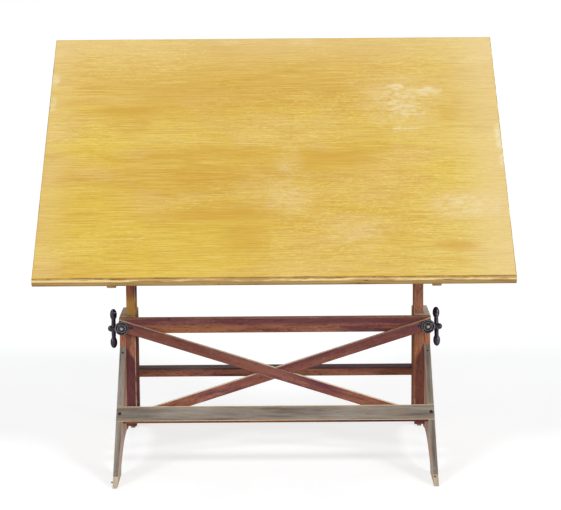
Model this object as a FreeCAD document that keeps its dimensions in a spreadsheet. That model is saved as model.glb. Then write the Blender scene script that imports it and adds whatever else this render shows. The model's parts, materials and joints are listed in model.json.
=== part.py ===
import FreeCAD, Part
import math
import os
import re
import Sketcher

# Architect table: a drafting board that tilts on two sliding posts, in a base with splayed legs,
# three rails and crossed braces. Millimetres and degrees. The origin is on the floor under the middle
# of the base, X runs to the right along the board, the user sits on the -Y side, and +Z is up.

SIZES = {
    # drawing board and its rest position on the pivot
    "board_width": 1219,
    "board_depth": 914,
    "board_thickness": 19,
    "edge_strip_depth": 10.5,
    "tilt_rest": 38.5,
    "tilt_max": 70,
    "pivot_height": 735,
    "pivot_to_front": 409,
    "pivot_below_board": 45,
    # battens under the board
    "batten_width": 24,
    "batten_height": 64,
    "batten_end_height": 30,
    "batten_taper": 150,
    "batten_setback": 20,
    # the joint of the upper rail and the braces: the rail, the side boards and the clamps go with it
    "brace_top_height": 363,
    "brace_top_rise": 22,
    "upper_rail_bottom": "=brace_top_height - brace_top_rise",
    "upper_rail_height": 41,
    "upper_rail_thickness": 18,
    "upright_rise": 2,
    "clamp_drop": 22,
    # the two sides of the base
    "base_half_width": 414.5,
    "side_board": 17,
    "upright_depth": 138,
    "upright_top": "=upper_rail_bottom + upper_rail_height + upright_rise",
    "knee_height": 303,
    "leg_reach": 325,
    "foot_length": 135,
    "foot_tip_height": 24,
    "arch_height": 75,
    "arch_flat": 40,
    # sliding posts
    "post_width": 24,
    "post_depth": 72,
    "post_bottom": 90,
    "lift_travel": 200,
    "clamp_height": "=brace_top_height - clamp_drop",
    # the guides in front of the posts
    "front_guide_depth": 18,
    "front_guide_bottom": 84,
    # the other rails and the braces
    "lower_rail_drop": 192,
    "lower_rail_width": 48,
    "lower_rail_thickness": 11,
    "back_rail_bottom": 199,
    "back_rail_height": 23,
    "brace_width": 28,
    "brace_thickness": 16,
    "brace_foot_height": 106,
    "brace_end_inset": 1,
    # slotted sectors that hold the tilt
    "quadrant_radius": 100,
    "quadrant_rim": 17,
    "quadrant_thickness": 6,
    "quadrant_slot_margin": 5,
    "quadrant_end_angle": 10,
    "quadrant_flange_width": 26,
    "quadrant_flange_thickness": 5,
    "quadrant_screw_inset": 22,
    # bolts, washers and wing nuts
    "bolt_radius": 5,
    "bolt_head_radius": 9,
    "bolt_head_height": 6,
    "bolt_grip_in_nut": 18,
    "bolt_end": 2,
    "pivot_nut_thickness": 8,
    "washer_radius": 15,
    "washer_thickness": 2.5,
    "clamp_plate_size": 40,
    "clamp_plate_thickness": 3,
    "nut_hub_radius": 8.5,
    "nut_hub_length": 25,
    "nut_flange_radius": 14,
    "nut_flange_thickness": 4,
    "nut_end_wall": 4,
    "wing_reach": 54,
    "tilt_wing_reach": 40,
    "wing_half_length": 16,
    "wing_half_width": 9.5,
    "wing_half_thickness": 6.5,
    "wing_offset": 17.5,
    "arm_root_radius": 6.5,
    "arm_tip_radius": 5.5,
    # rosettes and lag bolts
    "rosette_radius": 18.5,
    "rosette_rim": 4,
    "rosette_thickness": 6,
    "rosette_drop": 5,
    "rosette_height": "=brace_top_height - rosette_drop",
    "lag_radius": 4,
    "lag_head_radius": 7,
    "lag_head_height": 4,
    "lag_bite": 25,
    # wood screws, nails and dowels
    "screw_radius": 2.2,
    "screw_head_radius": 4.5,
    "screw_head_height": 3,
    "screw_bite": 12,
    "end_screw_bite": 32,
    "batten_screw_grip": 18,
    "batten_screw_margin": 60,
    "guide_screw_low": 160,
    "guide_screw_middle": 290,
    "guide_screw_drop": 8,
    "guide_screw_high": "=brace_top_height - guide_screw_drop",
    "front_guide_screw_low": 105,
    "front_guide_screw_middle": 180,
    "front_guide_screw_drop": 43,
    "front_guide_screw_high": "=brace_top_height - front_guide_screw_drop",
    "back_rail_screw_inset": 14,
    "brace_screw_inset": 33,
    "nail_radius": 1.5,
    "nail_head_radius": 3,
    "nail_head_height": 1,
    "nail_length": 34,
    "leg_nail_height": 289,
    "foot_nail_height": 36,
    "dowel_radius": 5,
    "dowel_length": 50,
    "dowel_low": 130,
    "dowel_high": 230,
    # clearances
    "slide_gap": 0.5,
    "clear_gap": 0.3,
    "running_gap": 0.08,
    "fit_gap": 0.05,
}
SCREWS_PER_BATTEN = 5
OVERCUT = "1"

DOC = FreeCAD.newDocument("architect_table")
SHEET = DOC.addObject("Spreadsheet::Sheet", "Sizes")
for row, (alias, size) in enumerate(SIZES.items(), start=1):
    SHEET.set(f"A{row}", alias)
    SHEET.set(f"B{row}", str(size))
    SHEET.setAlias(f"B{row}", alias)
DOC.recompute()

NODES = []
SIDES = (("left", -1), ("right", 1))
X_AXIS = FreeCAD.Vector(1, 0, 0)
Y_AXIS = FreeCAD.Vector(0, 1, 0)
Z_AXIS = FreeCAD.Vector(0, 0, 1)

# Places worked out from the sizes, as formulas
LEG_ANGLE = "(atan(knee_height / leg_reach) / 1deg)"
LEG_SIN = f"sin({LEG_ANGLE})"
LEG_COS = f"cos({LEG_ANGLE})"
FRONT = "(-upright_depth / 2)"
BACK = "(upright_depth / 2)"
LEG_INNER = "(base_half_width - side_board)"
LEG_MIDDLE = "(base_half_width - side_board / 2)"
POST_OUTER = "(base_half_width - side_board - slide_gap)"
POST_INNER = "(base_half_width - side_board - slide_gap - post_width)"
POST_MIDDLE = "(front_guide_depth + slide_gap + post_depth / 2 - upright_depth / 2)"
GUIDE_FRONT = "(front_guide_depth + 2 * slide_gap + post_depth - upright_depth / 2)"
GUIDE_DEPTH = "(upright_depth - front_guide_depth - 2 * slide_gap - post_depth)"
GUIDE_MIDDLE = f"({GUIDE_FRONT} + {GUIDE_DEPTH} / 2)"
FRONT_GUIDE_MIDDLE = f"({FRONT} + front_guide_depth / 2)"
RAIL_FRONT = f"({FRONT} - upper_rail_thickness)"
BRACE_FRONT = f"({RAIL_FRONT} - brace_thickness)"
BRACE_MIDDLE = f"({RAIL_FRONT} - brace_thickness / 2)"
BATTEN_INNER = f"({POST_OUTER} + washer_thickness + clear_gap)"
QUADRANT_OUTER = f"({POST_INNER} - clear_gap)"
QUADRANT_INNER = f"({QUADRANT_OUTER} - quadrant_thickness)"
CLAMP_PLATE_INNER = f"({POST_INNER} - clear_gap - clamp_plate_thickness)"
TILT_CLAMP_HEIGHT = "(pivot_height - quadrant_radius)"
SLOT_RADIUS = "(bolt_radius + slide_gap)"
ROSETTE_HOLE = "(lag_radius + fit_gap)"
BOLT_HOLE = "(bolt_radius + fit_gap)"

# Directions: a unit vector as formulas, and the turn that takes +Z there
WAYS = {
    "+X": (("1", "0", "0"), Y_AXIS, "90"),
    "-X": (("-1", "0", "0"), Y_AXIS, "270"),
    "+Y": (("0", "1", "0"), X_AXIS, "270"),
    "-Y": (("0", "-1", "0"), X_AXIS, "90"),
    "+Z": (("0", "0", "1"), X_AXIS, "0"),
    "into front leg": (("0", LEG_SIN, f"-{LEG_COS}"), X_AXIS, f"180 + {LEG_ANGLE}"),
    "into back leg": (("0", f"-{LEG_SIN}", f"-{LEG_COS}"), X_AXIS, f"180 - {LEG_ANGLE}"),
}
OUTWARD = {-1: "-X", 1: "+X"}
INWARD = {-1: "+X", 1: "-X"}


def formula(text):
    """The text with each size's name turned into a reference to its cell."""
    return re.sub(r"[a-z_]+", lambda word: "Sizes." + word[0] if word[0] in SIZES else word[0], text)


def number(text):
    """What a formula comes to with the present sizes."""
    return float(SHEET.evalExpression(formula(text)))


def bind(obj, **formulas):
    """Bind properties of an object to formulas of the sizes."""
    for name, text in formulas.items():
        obj.setExpression(name, formula(text))


def place(obj, x="0", y="0", z="0", axis=Z_AXIS, angle="0"):
    """Bind an object's position, and its turn about one axis."""
    if angle != "0":
        obj.Placement = FreeCAD.Placement(FreeCAD.Vector(), FreeCAD.Rotation(axis, number(angle)))
        obj.setExpression("Placement.Rotation.Angle", formula(angle))
    for letter, text in zip("xyz", (x, y, z)):
        obj.setExpression("Placement.Base." + letter, formula(text))
    return obj


def on_pivot(obj, x="0"):
    """Set a piece of the board, drawn about the pivot with the board level, at its rest tilt."""
    return place(obj, x, POST_MIDDLE, "pivot_height", X_AXIS, "tilt_rest")


def node(name, obj):
    """Name a finished sub-part and put it on the list that is written out."""
    obj.Label = name
    NODES.append(obj)
    return obj


def mirrored(side, text):
    """An X formula for the right side, turned over for the left side."""
    return text if side > 0 else f"-({text})"


def slab_start(side, inner, thickness):
    """The lower X of a slab whose inner face is at `inner`, on either side."""
    return inner if side > 0 else f"-({inner}) - ({thickness})"


def box(name, size, corner):
    """A box from its lowest corner."""
    block = DOC.addObject("Part::Box", name)
    bind(block, Length=size[0], Width=size[1], Height=size[2])
    return place(block, *corner)


def along(point, way, distance):
    """The point moved along a way by a distance."""
    return [f"{start} + ({step}) * ({distance})" for start, step in zip(point, WAYS[way][0])]


def aim(obj, point, way):
    """Put an object that is drawn along +Z at a point, pointing along a way."""
    return place(obj, *point, WAYS[way][1], WAYS[way][2])


def rod(name, radius, length, point, way):
    """A round bar from a point along a way."""
    bar = DOC.addObject("Part::Cylinder", name)
    bind(bar, Radius=radius, Height=length)
    return aim(bar, point, way)


def hexagon(name, radius, length, point, way):
    """A six-sided bar from a point along a way."""
    bar = DOC.addObject("Part::Prism", name)
    bar.Polygon = 6
    bind(bar, Circumradius=radius, Height=length)
    return aim(bar, point, way)


def fuse(name, pieces):
    """Several solids made into one."""
    joined = DOC.addObject("Part::MultiFuse", name)
    joined.Shapes = pieces
    return joined


def cut(name, base, tools):
    """A solid with one or more tools taken away."""
    result = DOC.addObject("Part::Cut", name)
    result.Base = base
    result.Tool = tools[0] if len(tools) == 1 else fuse(name + "_tools", tools)
    return result


def group(name, pieces):
    """Identical separate solids as one sub-part."""
    several = DOC.addObject("Part::Compound", name)
    several.Links = pieces
    return node(name, several)


class Corner:
    """A corner of an outline, and the arc to the next corner if it has a centre.

    `held` says which coordinates of the corner its sketch fixes: the end of an arc needs only one.
    """

    def __init__(self, u, v, held="uv", centre=None, turn="left"):
        self.u = u
        self.v = v
        self.held = held
        self.centre = centre
        self.turn = turn

    def flipped(self):
        """The same corner on the other side of the sketch's upright axis."""
        centre = self.centre and (f"-({self.centre[0]})", self.centre[1])
        turn = {"left": "right", "right": "left"}[self.turn]
        return Corner(f"-({self.u})", self.v, self.held, centre, turn)


def flip(corners, side=-1):
    """The outline as drawn for the right side, or turned over for the left side."""
    return corners if side > 0 else [corner.flipped() for corner in corners]


def hold(sketch, index, position, kind, text):
    """Fix one coordinate of a sketch point to a formula."""
    constraint = Sketcher.Constraint(kind, -1, 1, index, position, number(text))
    count = sketch.addConstraint(constraint)
    sketch.setExpression(f"Constraints[{count}]", formula(text))


def outline(body, role, corners):
    """A closed sketch on one of the body's own planes, held by formulas at its corners."""
    sketch = body.newObject("Sketcher::SketchObject", body.Name + "_outline")
    planes = {feature.Role: feature for feature in body.Origin.OriginFeatures}
    sketch.AttachmentSupport = [(planes[role], "")]
    sketch.MapMode = "FlatFace"
    spots = [FreeCAD.Vector(number(corner.u), number(corner.v), 0) for corner in corners]
    edges = []
    for corner, here, there in zip(corners, spots, spots[1:] + spots[:1]):
        if corner.centre is None:
            edges.append((sketch.addGeometry(Part.LineSegment(here, there)), 1, 2))
            continue
        middle = FreeCAD.Vector(number(corner.centre[0]), number(corner.centre[1]), 0)
        circle = Part.Circle(middle, Z_AXIS, (here - middle).Length)
        first, last = (here, there) if corner.turn == "left" else (there, here)
        angles = [math.atan2((spot - middle).y, (spot - middle).x) for spot in (first, last)]
        index = sketch.addGeometry(Part.ArcOfCircle(circle, *angles))
        edges.append((index, 1, 2) if corner.turn == "left" else (index, 2, 1))
        hold(sketch, index, 3, "DistanceX", corner.centre[0])
        hold(sketch, index, 3, "DistanceY", corner.centre[1])
    for (index, _, end), (following, start, _) in zip(edges, edges[1:] + edges[:1]):
        sketch.addConstraint(Sketcher.Constraint("Coincident", index, end, following, start))
    for corner, (index, start, _) in zip(corners, edges):
        if "u" in corner.held:
            hold(sketch, index, start, "DistanceX", corner.u)
        if "v" in corner.held:
            hold(sketch, index, start, "DistanceY", corner.v)
    return sketch


def board(name, role, corners, thickness, position):
    """A flat board: an outline padded to a thickness."""
    body = DOC.addObject("PartDesign::Body", name)
    pad = body.newObject("PartDesign::Pad", name + "_pad")
    pad.Profile = outline(body, role, corners)
    bind(pad, Length=thickness)
    place(body, *position)
    return body


def turned(name, corners):
    """A solid of revolution about its own X axis, from a half outline."""
    body = DOC.addObject("PartDesign::Body", name)
    revolution = body.newObject("PartDesign::Revolution", name + "_revolution")
    profile = outline(body, "XY_Plane", corners)
    revolution.Profile = profile
    revolution.ReferenceAxis = (profile, ["H_Axis"])
    revolution.Angle = 360
    return body


SCREW = ("screw_radius", "screw_head_radius", "screw_head_height")
NAIL = ("nail_radius", "nail_head_radius", "nail_head_height")
BOLT = ("bolt_radius", "bolt_head_radius", "bolt_head_height")


def sunk(name, kind, length, point, way, access=OVERCUT):
    """A fastener with its head let in level at a point, and the hole that takes it.

    `access` is how far the head's part of the hole reaches out beyond the point.
    """
    radius, head_radius, head_height = kind
    shank = rod(name + "_shank", radius, length, point, way)
    head = rod(name + "_head", head_radius, head_height, point, way)
    shank_hole = rod(name + "_shank_hole", f"{radius} + fit_gap", f"{length} + fit_gap", point, way)
    opening = along(point, way, f"-({access})")
    depth = f"{head_height} + {access}"
    head_hole = rod(name + "_head_hole", f"{head_radius} + fit_gap", depth, opening, way)
    return fuse(name, [shank, head]), [shank_hole, head_hole]


def bolt(name, length, seat, way, head_way):
    """A bolt with a hexagonal head that stands proud of its seat."""
    shank = rod(name + "_shank", "bolt_radius", length, seat, way)
    head = hexagon(name + "_head", "bolt_head_radius", "bolt_head_height", seat, head_way)
    return fuse(name, [shank, head])


def washer(name, point, way):
    """A flat washer for a bolt."""
    disc = rod(name + "_disc", "washer_radius", "washer_thickness", point, way)
    hole = rod(name + "_hole", BOLT_HOLE, "washer_thickness", point, way)
    return cut(name, disc, [hole])


def slope_point(height):
    """The point of a front leg's sloping edge at a height, from the upright's front edge."""
    return f"-leg_reach * (1 - ({height}) / knee_height)", height


def edge_point(distance, depth="0"):
    """A point at a distance down a front leg's sloping edge from the knee, let in by a depth."""
    u = f"({depth}) * {LEG_SIN} - ({distance}) * {LEG_COS}"
    v = f"knee_height - ({distance}) * {LEG_SIN} - ({depth}) * {LEG_COS}"
    return u, v


# Legs: bracket-shaped boards against the uprights' edges, hollowed underneath by one arc
HEEL = "-(leg_reach - foot_length)"
ARCH_RISE = "(arch_height - foot_tip_height)"
ARCH_RUN = "(leg_reach - foot_length - arch_flat)"
ARCH_RADIUS = f"(({ARCH_RUN} ^ 2 + {ARCH_RISE} ^ 2) / (2 * {ARCH_RISE}))"
ARCH_CENTRE = ("-arch_flat", f"arch_height - {ARCH_RADIUS}")
RAIL_LOW_EDGE = "(lower_rail_drop + lower_rail_width)"
KNEE = [Corner("0", "knee_height")]
RAIL_NOTCH = [
    Corner(*edge_point("lower_rail_drop")),
    Corner(*edge_point("lower_rail_drop", "lower_rail_thickness")),
    Corner(*edge_point(RAIL_LOW_EDGE, "lower_rail_thickness")),
    Corner(*edge_point(RAIL_LOW_EDGE)),
]
FOOT_AND_ARCH = [
    Corner(*slope_point("foot_tip_height")),
    Corner(HEEL, "foot_tip_height", centre=ARCH_CENTRE, turn="right"),
    Corner("-arch_flat", "arch_height", held="u"),
    Corner("0", "arch_height"),
]
FOOT_TIP = [
    Corner("-leg_reach", "0"),
    Corner(HEEL, "0"),
    Corner(HEEL, "foot_tip_height"),
    Corner(*slope_point("foot_tip_height")),
]
LEG_ENDS = (("front", FRONT, 1), ("back", BACK, -1))

leg_dowels = []
leg_nails = []
foot_nails = []
leg_holes = {}
upright_holes = {"left": [], "right": []}
tip_holes = {}
for side_name, side in SIDES:
    middle = mirrored(side, LEG_MIDDLE)
    for end_name, edge, forward in LEG_ENDS:
        corner_name = f"{end_name}_{side_name}"
        way = f"into {end_name} leg"
        nails = []
        for kind_name, height in (("leg", "leg_nail_height"), ("foot", "foot_nail_height")):
            reach, _ = slope_point(height)
            point = (middle, f"{edge} + {forward} * ({reach})", height)
            nails.append(sunk(f"{kind_name}_nail_{corner_name}", NAIL, "nail_length", point, way))
        (leg_nail, leg_nail_holes), (foot_nail, foot_nail_holes) = nails
        leg_nails.append(leg_nail)
        foot_nails.append(foot_nail)
        dowel_holes = []
        for level in ("dowel_low", "dowel_high"):
            dowel_name = f"{level}_{corner_name}"
            start = (middle, f"{edge} - dowel_length / 2", level)
            leg_dowels.append(rod(dowel_name, "dowel_radius", "dowel_length", start, "+Y"))
            room = along(start, "+Y", "-fit_gap")
            room_length = "dowel_length + 2 * fit_gap"
            dowel_holes.append(rod(dowel_name + "_hole", "dowel_radius + fit_gap", room_length, room, "+Y"))
        leg_holes[corner_name] = leg_nail_holes + foot_nail_holes + dowel_holes
        upright_holes[side_name] += leg_nail_holes + dowel_holes
        tip_holes[corner_name] = foot_nail_holes
group("leg_dowels", leg_dowels)
group("leg_nails", leg_nails)
group("foot_nails", foot_nails)

# Lower front rail: let into the legs' sloping edges, flush with them
lower_rail = box(
    "lower_rail_blank",
    ("2 * base_half_width", "lower_rail_thickness", "lower_rail_width"),
    ("0", "0", "0"),
)
rail_edge_y, rail_edge_z = edge_point(RAIL_LOW_EDGE)
place(lower_rail, "-base_half_width", f"{FRONT} + {rail_edge_y}", rail_edge_z, X_AXIS, f"270 + {LEG_ANGLE}")
lower_rail_screws = []
lower_rail_holes = []
for side_name, side in SIDES:
    y, z = edge_point("lower_rail_drop + lower_rail_width / 2")
    point = (mirrored(side, LEG_MIDDLE), f"{FRONT} + {y}", z)
    length = "lower_rail_thickness + end_screw_bite"
    screw, holes = sunk(f"lower_rail_screw_{side_name}", SCREW, length, point, "into front leg")
    lower_rail_screws.append(screw)
    lower_rail_holes += holes
    leg_holes[f"front_{side_name}"] += holes
group("lower_rail_screws", lower_rail_screws)
node("lower_front_rail", cut("lower_front_rail", lower_rail, lower_rail_holes))

# Crossed braces: on the upper rail's front at the top, between the legs at the foot, halved where they cross
BRACE_SLOPE = f"((brace_top_height - brace_foot_height) / ({LEG_MIDDLE} + {LEG_INNER}))"
BRACE_TOP_X = "-(base_half_width - brace_end_inset)"


def brace_corners(extra):
    """The falling brace's outline, made wider all round by `extra`."""
    half = f"((brace_width / 2 + {extra}) * sqrt(1 + {BRACE_SLOPE} ^ 2))"
    corners = []
    for x, sign in ((BRACE_TOP_X, -1), (LEG_INNER, -1), (LEG_INNER, 1), (BRACE_TOP_X, 1)):
        middle = f"(brace_top_height - {BRACE_SLOPE} * ({x} + {LEG_MIDDLE}))"
        corners.append(Corner(x, f"{middle} + ({sign}) * {half}"))
    return corners


rosette_bolts = []
brace_screws = []
brace_end_screws = []
upper_rail_holes = []
# name, side of its upper end, side of its foot, and where the half that is cut away for the other begins
BRACES = (
    ("cross_brace_a", "left", "right", RAIL_FRONT),
    ("cross_brace_b", "right", "left", BRACE_MIDDLE),
)
for brace_name, top_name, foot_name, lap_start in BRACES:
    top_side = dict(SIDES)[top_name]
    blank = board(
        brace_name + "_blank", "XZ_Plane", flip(brace_corners("0"), -top_side),
        "brace_thickness", ("0", RAIL_FRONT, "0"))
    lap = board(
        brace_name + "_lap", "XZ_Plane", flip(brace_corners("fit_gap"), top_side),
        "brace_thickness / 2", ("0", lap_start, "0"))
    rosette_seat = (mirrored(top_side, LEG_MIDDLE), f"{BRACE_FRONT} - rosette_thickness", "rosette_height")
    lag_length = "(rosette_thickness + brace_thickness + upper_rail_thickness + lag_bite)"
    lag_shank = rod(f"rosette_bolt_shank_{top_name}", "lag_radius", lag_length, rosette_seat, "+Y")
    lag_top = along(rosette_seat, "+Y", "-lag_head_height")
    lag_head = rod(f"rosette_bolt_head_{top_name}", "lag_head_radius", "lag_head_height", lag_top, "+Y")
    rosette_bolts.append(fuse(f"rosette_bolt_{top_name}", [lag_shank, lag_head]))
    lag_hole = rod(
        f"rosette_bolt_hole_{top_name}", ROSETTE_HOLE, f"{lag_length} + fit_gap", rosette_seat, "+Y")
    screw_x = mirrored(top_side, "base_half_width - brace_screw_inset")
    screw_point = (screw_x, BRACE_FRONT, "rosette_height")
    screw, screw_holes = sunk(
        f"brace_screw_{top_name}", SCREW, "brace_thickness + screw_bite", screw_point, "+Y")
    brace_screws.append(screw)
    end_point = (mirrored(-top_side, "base_half_width"), BRACE_MIDDLE, "brace_foot_height")
    end_screw, end_holes = sunk(
        f"brace_end_screw_{foot_name}", SCREW, "side_board + end_screw_bite", end_point, INWARD[-top_side])
    brace_end_screws.append(end_screw)
    upper_rail_holes += [lag_hole] + screw_holes
    upright_holes[top_name].append(lag_hole)
    leg_holes[f"front_{foot_name}"] += end_holes
    node(brace_name, cut(brace_name, blank, [lap, lag_hole] + screw_holes + end_holes))
group("rosette_bolts", rosette_bolts)
group("brace_screws", brace_screws)
group("brace_end_screws", brace_end_screws)

upper_rail = box(
    "upper_rail_blank",
    ("2 * base_half_width", "upper_rail_thickness", "upper_rail_height"),
    ("-base_half_width", RAIL_FRONT, "upper_rail_bottom"))
node("upper_front_rail", cut("upper_front_rail", upper_rail, upper_rail_holes))

# Rosettes: turned discs under the heads of the lag bolts, a little below the middle of the braces
ROSETTE = [
    Corner("0", ROSETTE_HOLE),
    Corner("0", "rosette_radius"),
    Corner("rosette_thickness / 3", "rosette_radius"),
    Corner("rosette_thickness", "rosette_radius - rosette_rim"),
    Corner("rosette_thickness / 2", "rosette_radius - 1.5 * rosette_rim"),
    Corner("rosette_thickness", "lag_head_radius"),
    Corner("rosette_thickness", ROSETTE_HOLE),
]
for side_name, side in SIDES:
    disc = turned(f"rosette_{side_name}", ROSETTE)
    place(disc, mirrored(side, LEG_MIDDLE), BRACE_FRONT, "rosette_height", Z_AXIS, "270")
    node(f"rosette_{side_name}", disc)

# Guides before and behind the posts, and the back rail
back_rail_screws = []
guide_screws = []
front_guide_screws = []
guide_holes = {"left": [], "right": []}
front_guide_holes = {"left": [], "right": []}
back_rail_holes = []
GUIDES = (
    ("guide_screw", GUIDE_MIDDLE, guide_screws, guide_holes),
    ("front_guide_screw", FRONT_GUIDE_MIDDLE, front_guide_screws, front_guide_holes),
)
for side_name, side in SIDES:
    for kind, y, screws, its_holes in GUIDES:
        for level in ("low", "middle", "high"):
            point = (mirrored(side, POST_INNER), y, f"{kind}_{level}")
            length = "post_width + slide_gap + screw_bite"
            screw, holes = sunk(f"{kind}_{level}_{side_name}", SCREW, length, point, OUTWARD[side])
            screws.append(screw)
            its_holes[side_name] += holes
            upright_holes[side_name] += holes
    for place_name, y in (
        ("near", f"{GUIDE_FRONT} + back_rail_screw_inset"),
        ("far", f"{BACK} - back_rail_screw_inset"),
    ):
        point = (mirrored(side, "base_half_width"), y, "back_rail_bottom + back_rail_height / 2")
        length = "side_board + slide_gap + post_width + end_screw_bite"
        screw, holes = sunk(f"back_rail_screw_{place_name}_{side_name}", SCREW, length, point, INWARD[side])
        back_rail_screws.append(screw)
        guide_holes[side_name] += holes
        upright_holes[side_name] += holes
        back_rail_holes += holes
group("guide_screws", guide_screws)
group("front_guide_screws", front_guide_screws)
group("back_rail_screws", back_rail_screws)
back_rail = box(
    "back_rail_blank",
    (f"2 * {POST_INNER}", GUIDE_DEPTH, "back_rail_height"),
    (f"-{POST_INNER}", GUIDE_FRONT, "back_rail_bottom"))
node("back_rail", cut("back_rail", back_rail, back_rail_holes))


def wing_nut(name, reach, point, side, angle):
    """A cast wing nut: a domed hub with a blind bore, and two arms that end in flattened lobes."""
    bore = "(bolt_radius + running_gap)"
    bore_end = "(nut_hub_length + nut_hub_radius - nut_end_wall)"
    hub = turned(name + "_hub", [
        Corner("0", bore),
        Corner("0", "nut_flange_radius"),
        Corner("nut_flange_thickness", "nut_flange_radius"),
        Corner("2 * nut_flange_thickness", "nut_hub_radius"),
        Corner("nut_hub_length", "nut_hub_radius", centre=("nut_hub_length", "0"), turn="right"),
        Corner("nut_hub_length + nut_hub_radius", "0", held="v"),
        Corner(bore_end, "0"),
        Corner(bore_end, bore),
    ])
    pieces = []
    lobe_distance = f"({reach} - wing_half_length)"
    for end_name, turn, sign in (("upper", "0", 1), ("lower", "180", -1)):
        arm = DOC.addObject("Part::Cone", f"{name}_{end_name}_arm")
        bind(arm, Radius1="arm_root_radius", Radius2="arm_tip_radius", Height=lobe_distance)
        place(arm, "wing_offset", "0", "0", X_AXIS, turn)
        lobe = DOC.addObject("Part::Ellipsoid", f"{name}_{end_name}_lobe")
        bind(lobe, Radius1="wing_half_length", Radius2="wing_half_width", Radius3="wing_half_thickness")
        place(lobe, "wing_offset", "0", f"({sign}) * {lobe_distance}")
        pieces += [arm, lobe]
    bore_hole = rod(name + "_bore", bore, bore_end, ("0", "0", "0"), "+X")
    wings = cut(name + "_wings", fuse(name + "_arms", pieces), [bore_hole])
    nut = fuse(name, [hub, wings])
    outward = FreeCAD.Rotation(Z_AXIS, 0 if side > 0 else 180)
    nut.Placement.Rotation = outward.multiply(FreeCAD.Rotation(X_AXIS, angle))
    for letter, text in zip("xyz", point):
        nut.setExpression("Placement.Base." + letter, formula(text))
    return node(name, nut)


# Height clamps: a bolt through each upright and the slot of its post, with the wing nut outside
HEIGHT_NUT_ANGLE = {-1: 0, 1: -22}
height_bolts = []
height_washers = []
clamp_plates = []
for side_name, side in SIDES:
    seat = (mirrored(side, CLAMP_PLATE_INNER), POST_MIDDLE, "clamp_height")
    plate = box(
        f"clamp_plate_blank_{side_name}",
        ("clamp_plate_thickness", "clamp_plate_size", "clamp_plate_size"),
        (slab_start(side, CLAMP_PLATE_INNER, "clamp_plate_thickness"),
         f"{POST_MIDDLE} - clamp_plate_size / 2", "clamp_height - clamp_plate_size / 2"))
    length = f"base_half_width + washer_thickness + clear_gap + bolt_grip_in_nut - {CLAMP_PLATE_INNER}"
    height_bolts.append(bolt(f"height_bolt_{side_name}", length, seat, OUTWARD[side], INWARD[side]))
    hole = rod(f"height_bolt_hole_{side_name}", BOLT_HOLE, length, seat, OUTWARD[side])
    clamp_plates.append(cut(f"clamp_plate_{side_name}", plate, [hole]))
    upright_holes[side_name].append(hole)
    outside = (mirrored(side, "base_half_width"), POST_MIDDLE, "clamp_height")
    height_washers.append(washer(f"height_washer_{side_name}", outside, OUTWARD[side]))
    nut_seat = along(outside, OUTWARD[side], "washer_thickness + clear_gap")
    wing_nut(f"height_wing_nut_{side_name}", "wing_reach", nut_seat, side, HEIGHT_NUT_ANGLE[side])
group("height_clamp_bolts", height_bolts)
group("height_washers", height_washers)
group("clamp_plates", clamp_plates)

# Uprights, guides, legs and foot tips with all their holes
UPRIGHT = [
    Corner(LEG_INNER, "arch_height"),
    Corner("base_half_width", "arch_height"),
    Corner("base_half_width", "upright_top"),
    Corner(LEG_INNER, "upright_top"),
]
for side_name, side in SIDES:
    upright = board(
        f"upright_blank_{side_name}", "XZ_Plane", flip(UPRIGHT, side), "upright_depth", ("0", BACK, "0"))
    node(f"upright_{side_name}", cut(f"upright_{side_name}", upright, upright_holes[side_name]))
    guide = box(
        f"rear_guide_blank_{side_name}",
        ("post_width + slide_gap", GUIDE_DEPTH, "upright_top - arch_height"),
        (slab_start(side, POST_INNER, "post_width + slide_gap"), GUIDE_FRONT, "arch_height"))
    node(f"rear_guide_{side_name}", cut(f"rear_guide_{side_name}", guide, guide_holes[side_name]))
    front_guide = box(
        f"front_guide_blank_{side_name}",
        ("post_width + slide_gap", "front_guide_depth", "upright_top - front_guide_bottom"),
        (slab_start(side, POST_INNER, "post_width + slide_gap"), FRONT, "front_guide_bottom"))
    name = f"front_guide_{side_name}"
    node(name, cut(name, front_guide, front_guide_holes[side_name]))
    side_x = slab_start(side, LEG_INNER, "side_board")
    for end_name, edge, forward in LEG_ENDS:
        notch = RAIL_NOTCH if end_name == "front" else []
        corners = flip(KNEE + notch + FOOT_AND_ARCH, forward)
        name = f"{end_name}_leg_{side_name}"
        leg = board(name + "_blank", "YZ_Plane", corners, "side_board", (side_x, edge, "0"))
        node(name, cut(name, leg, leg_holes[f"{end_name}_{side_name}"]))
        name = f"{end_name}_foot_tip_{side_name}"
        tip = board(name + "_blank", "YZ_Plane", flip(FOOT_TIP, forward), "side_board", (side_x, edge, "0"))
        node(name, cut(name, tip, tip_holes[f"{end_name}_{side_name}"]))

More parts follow.
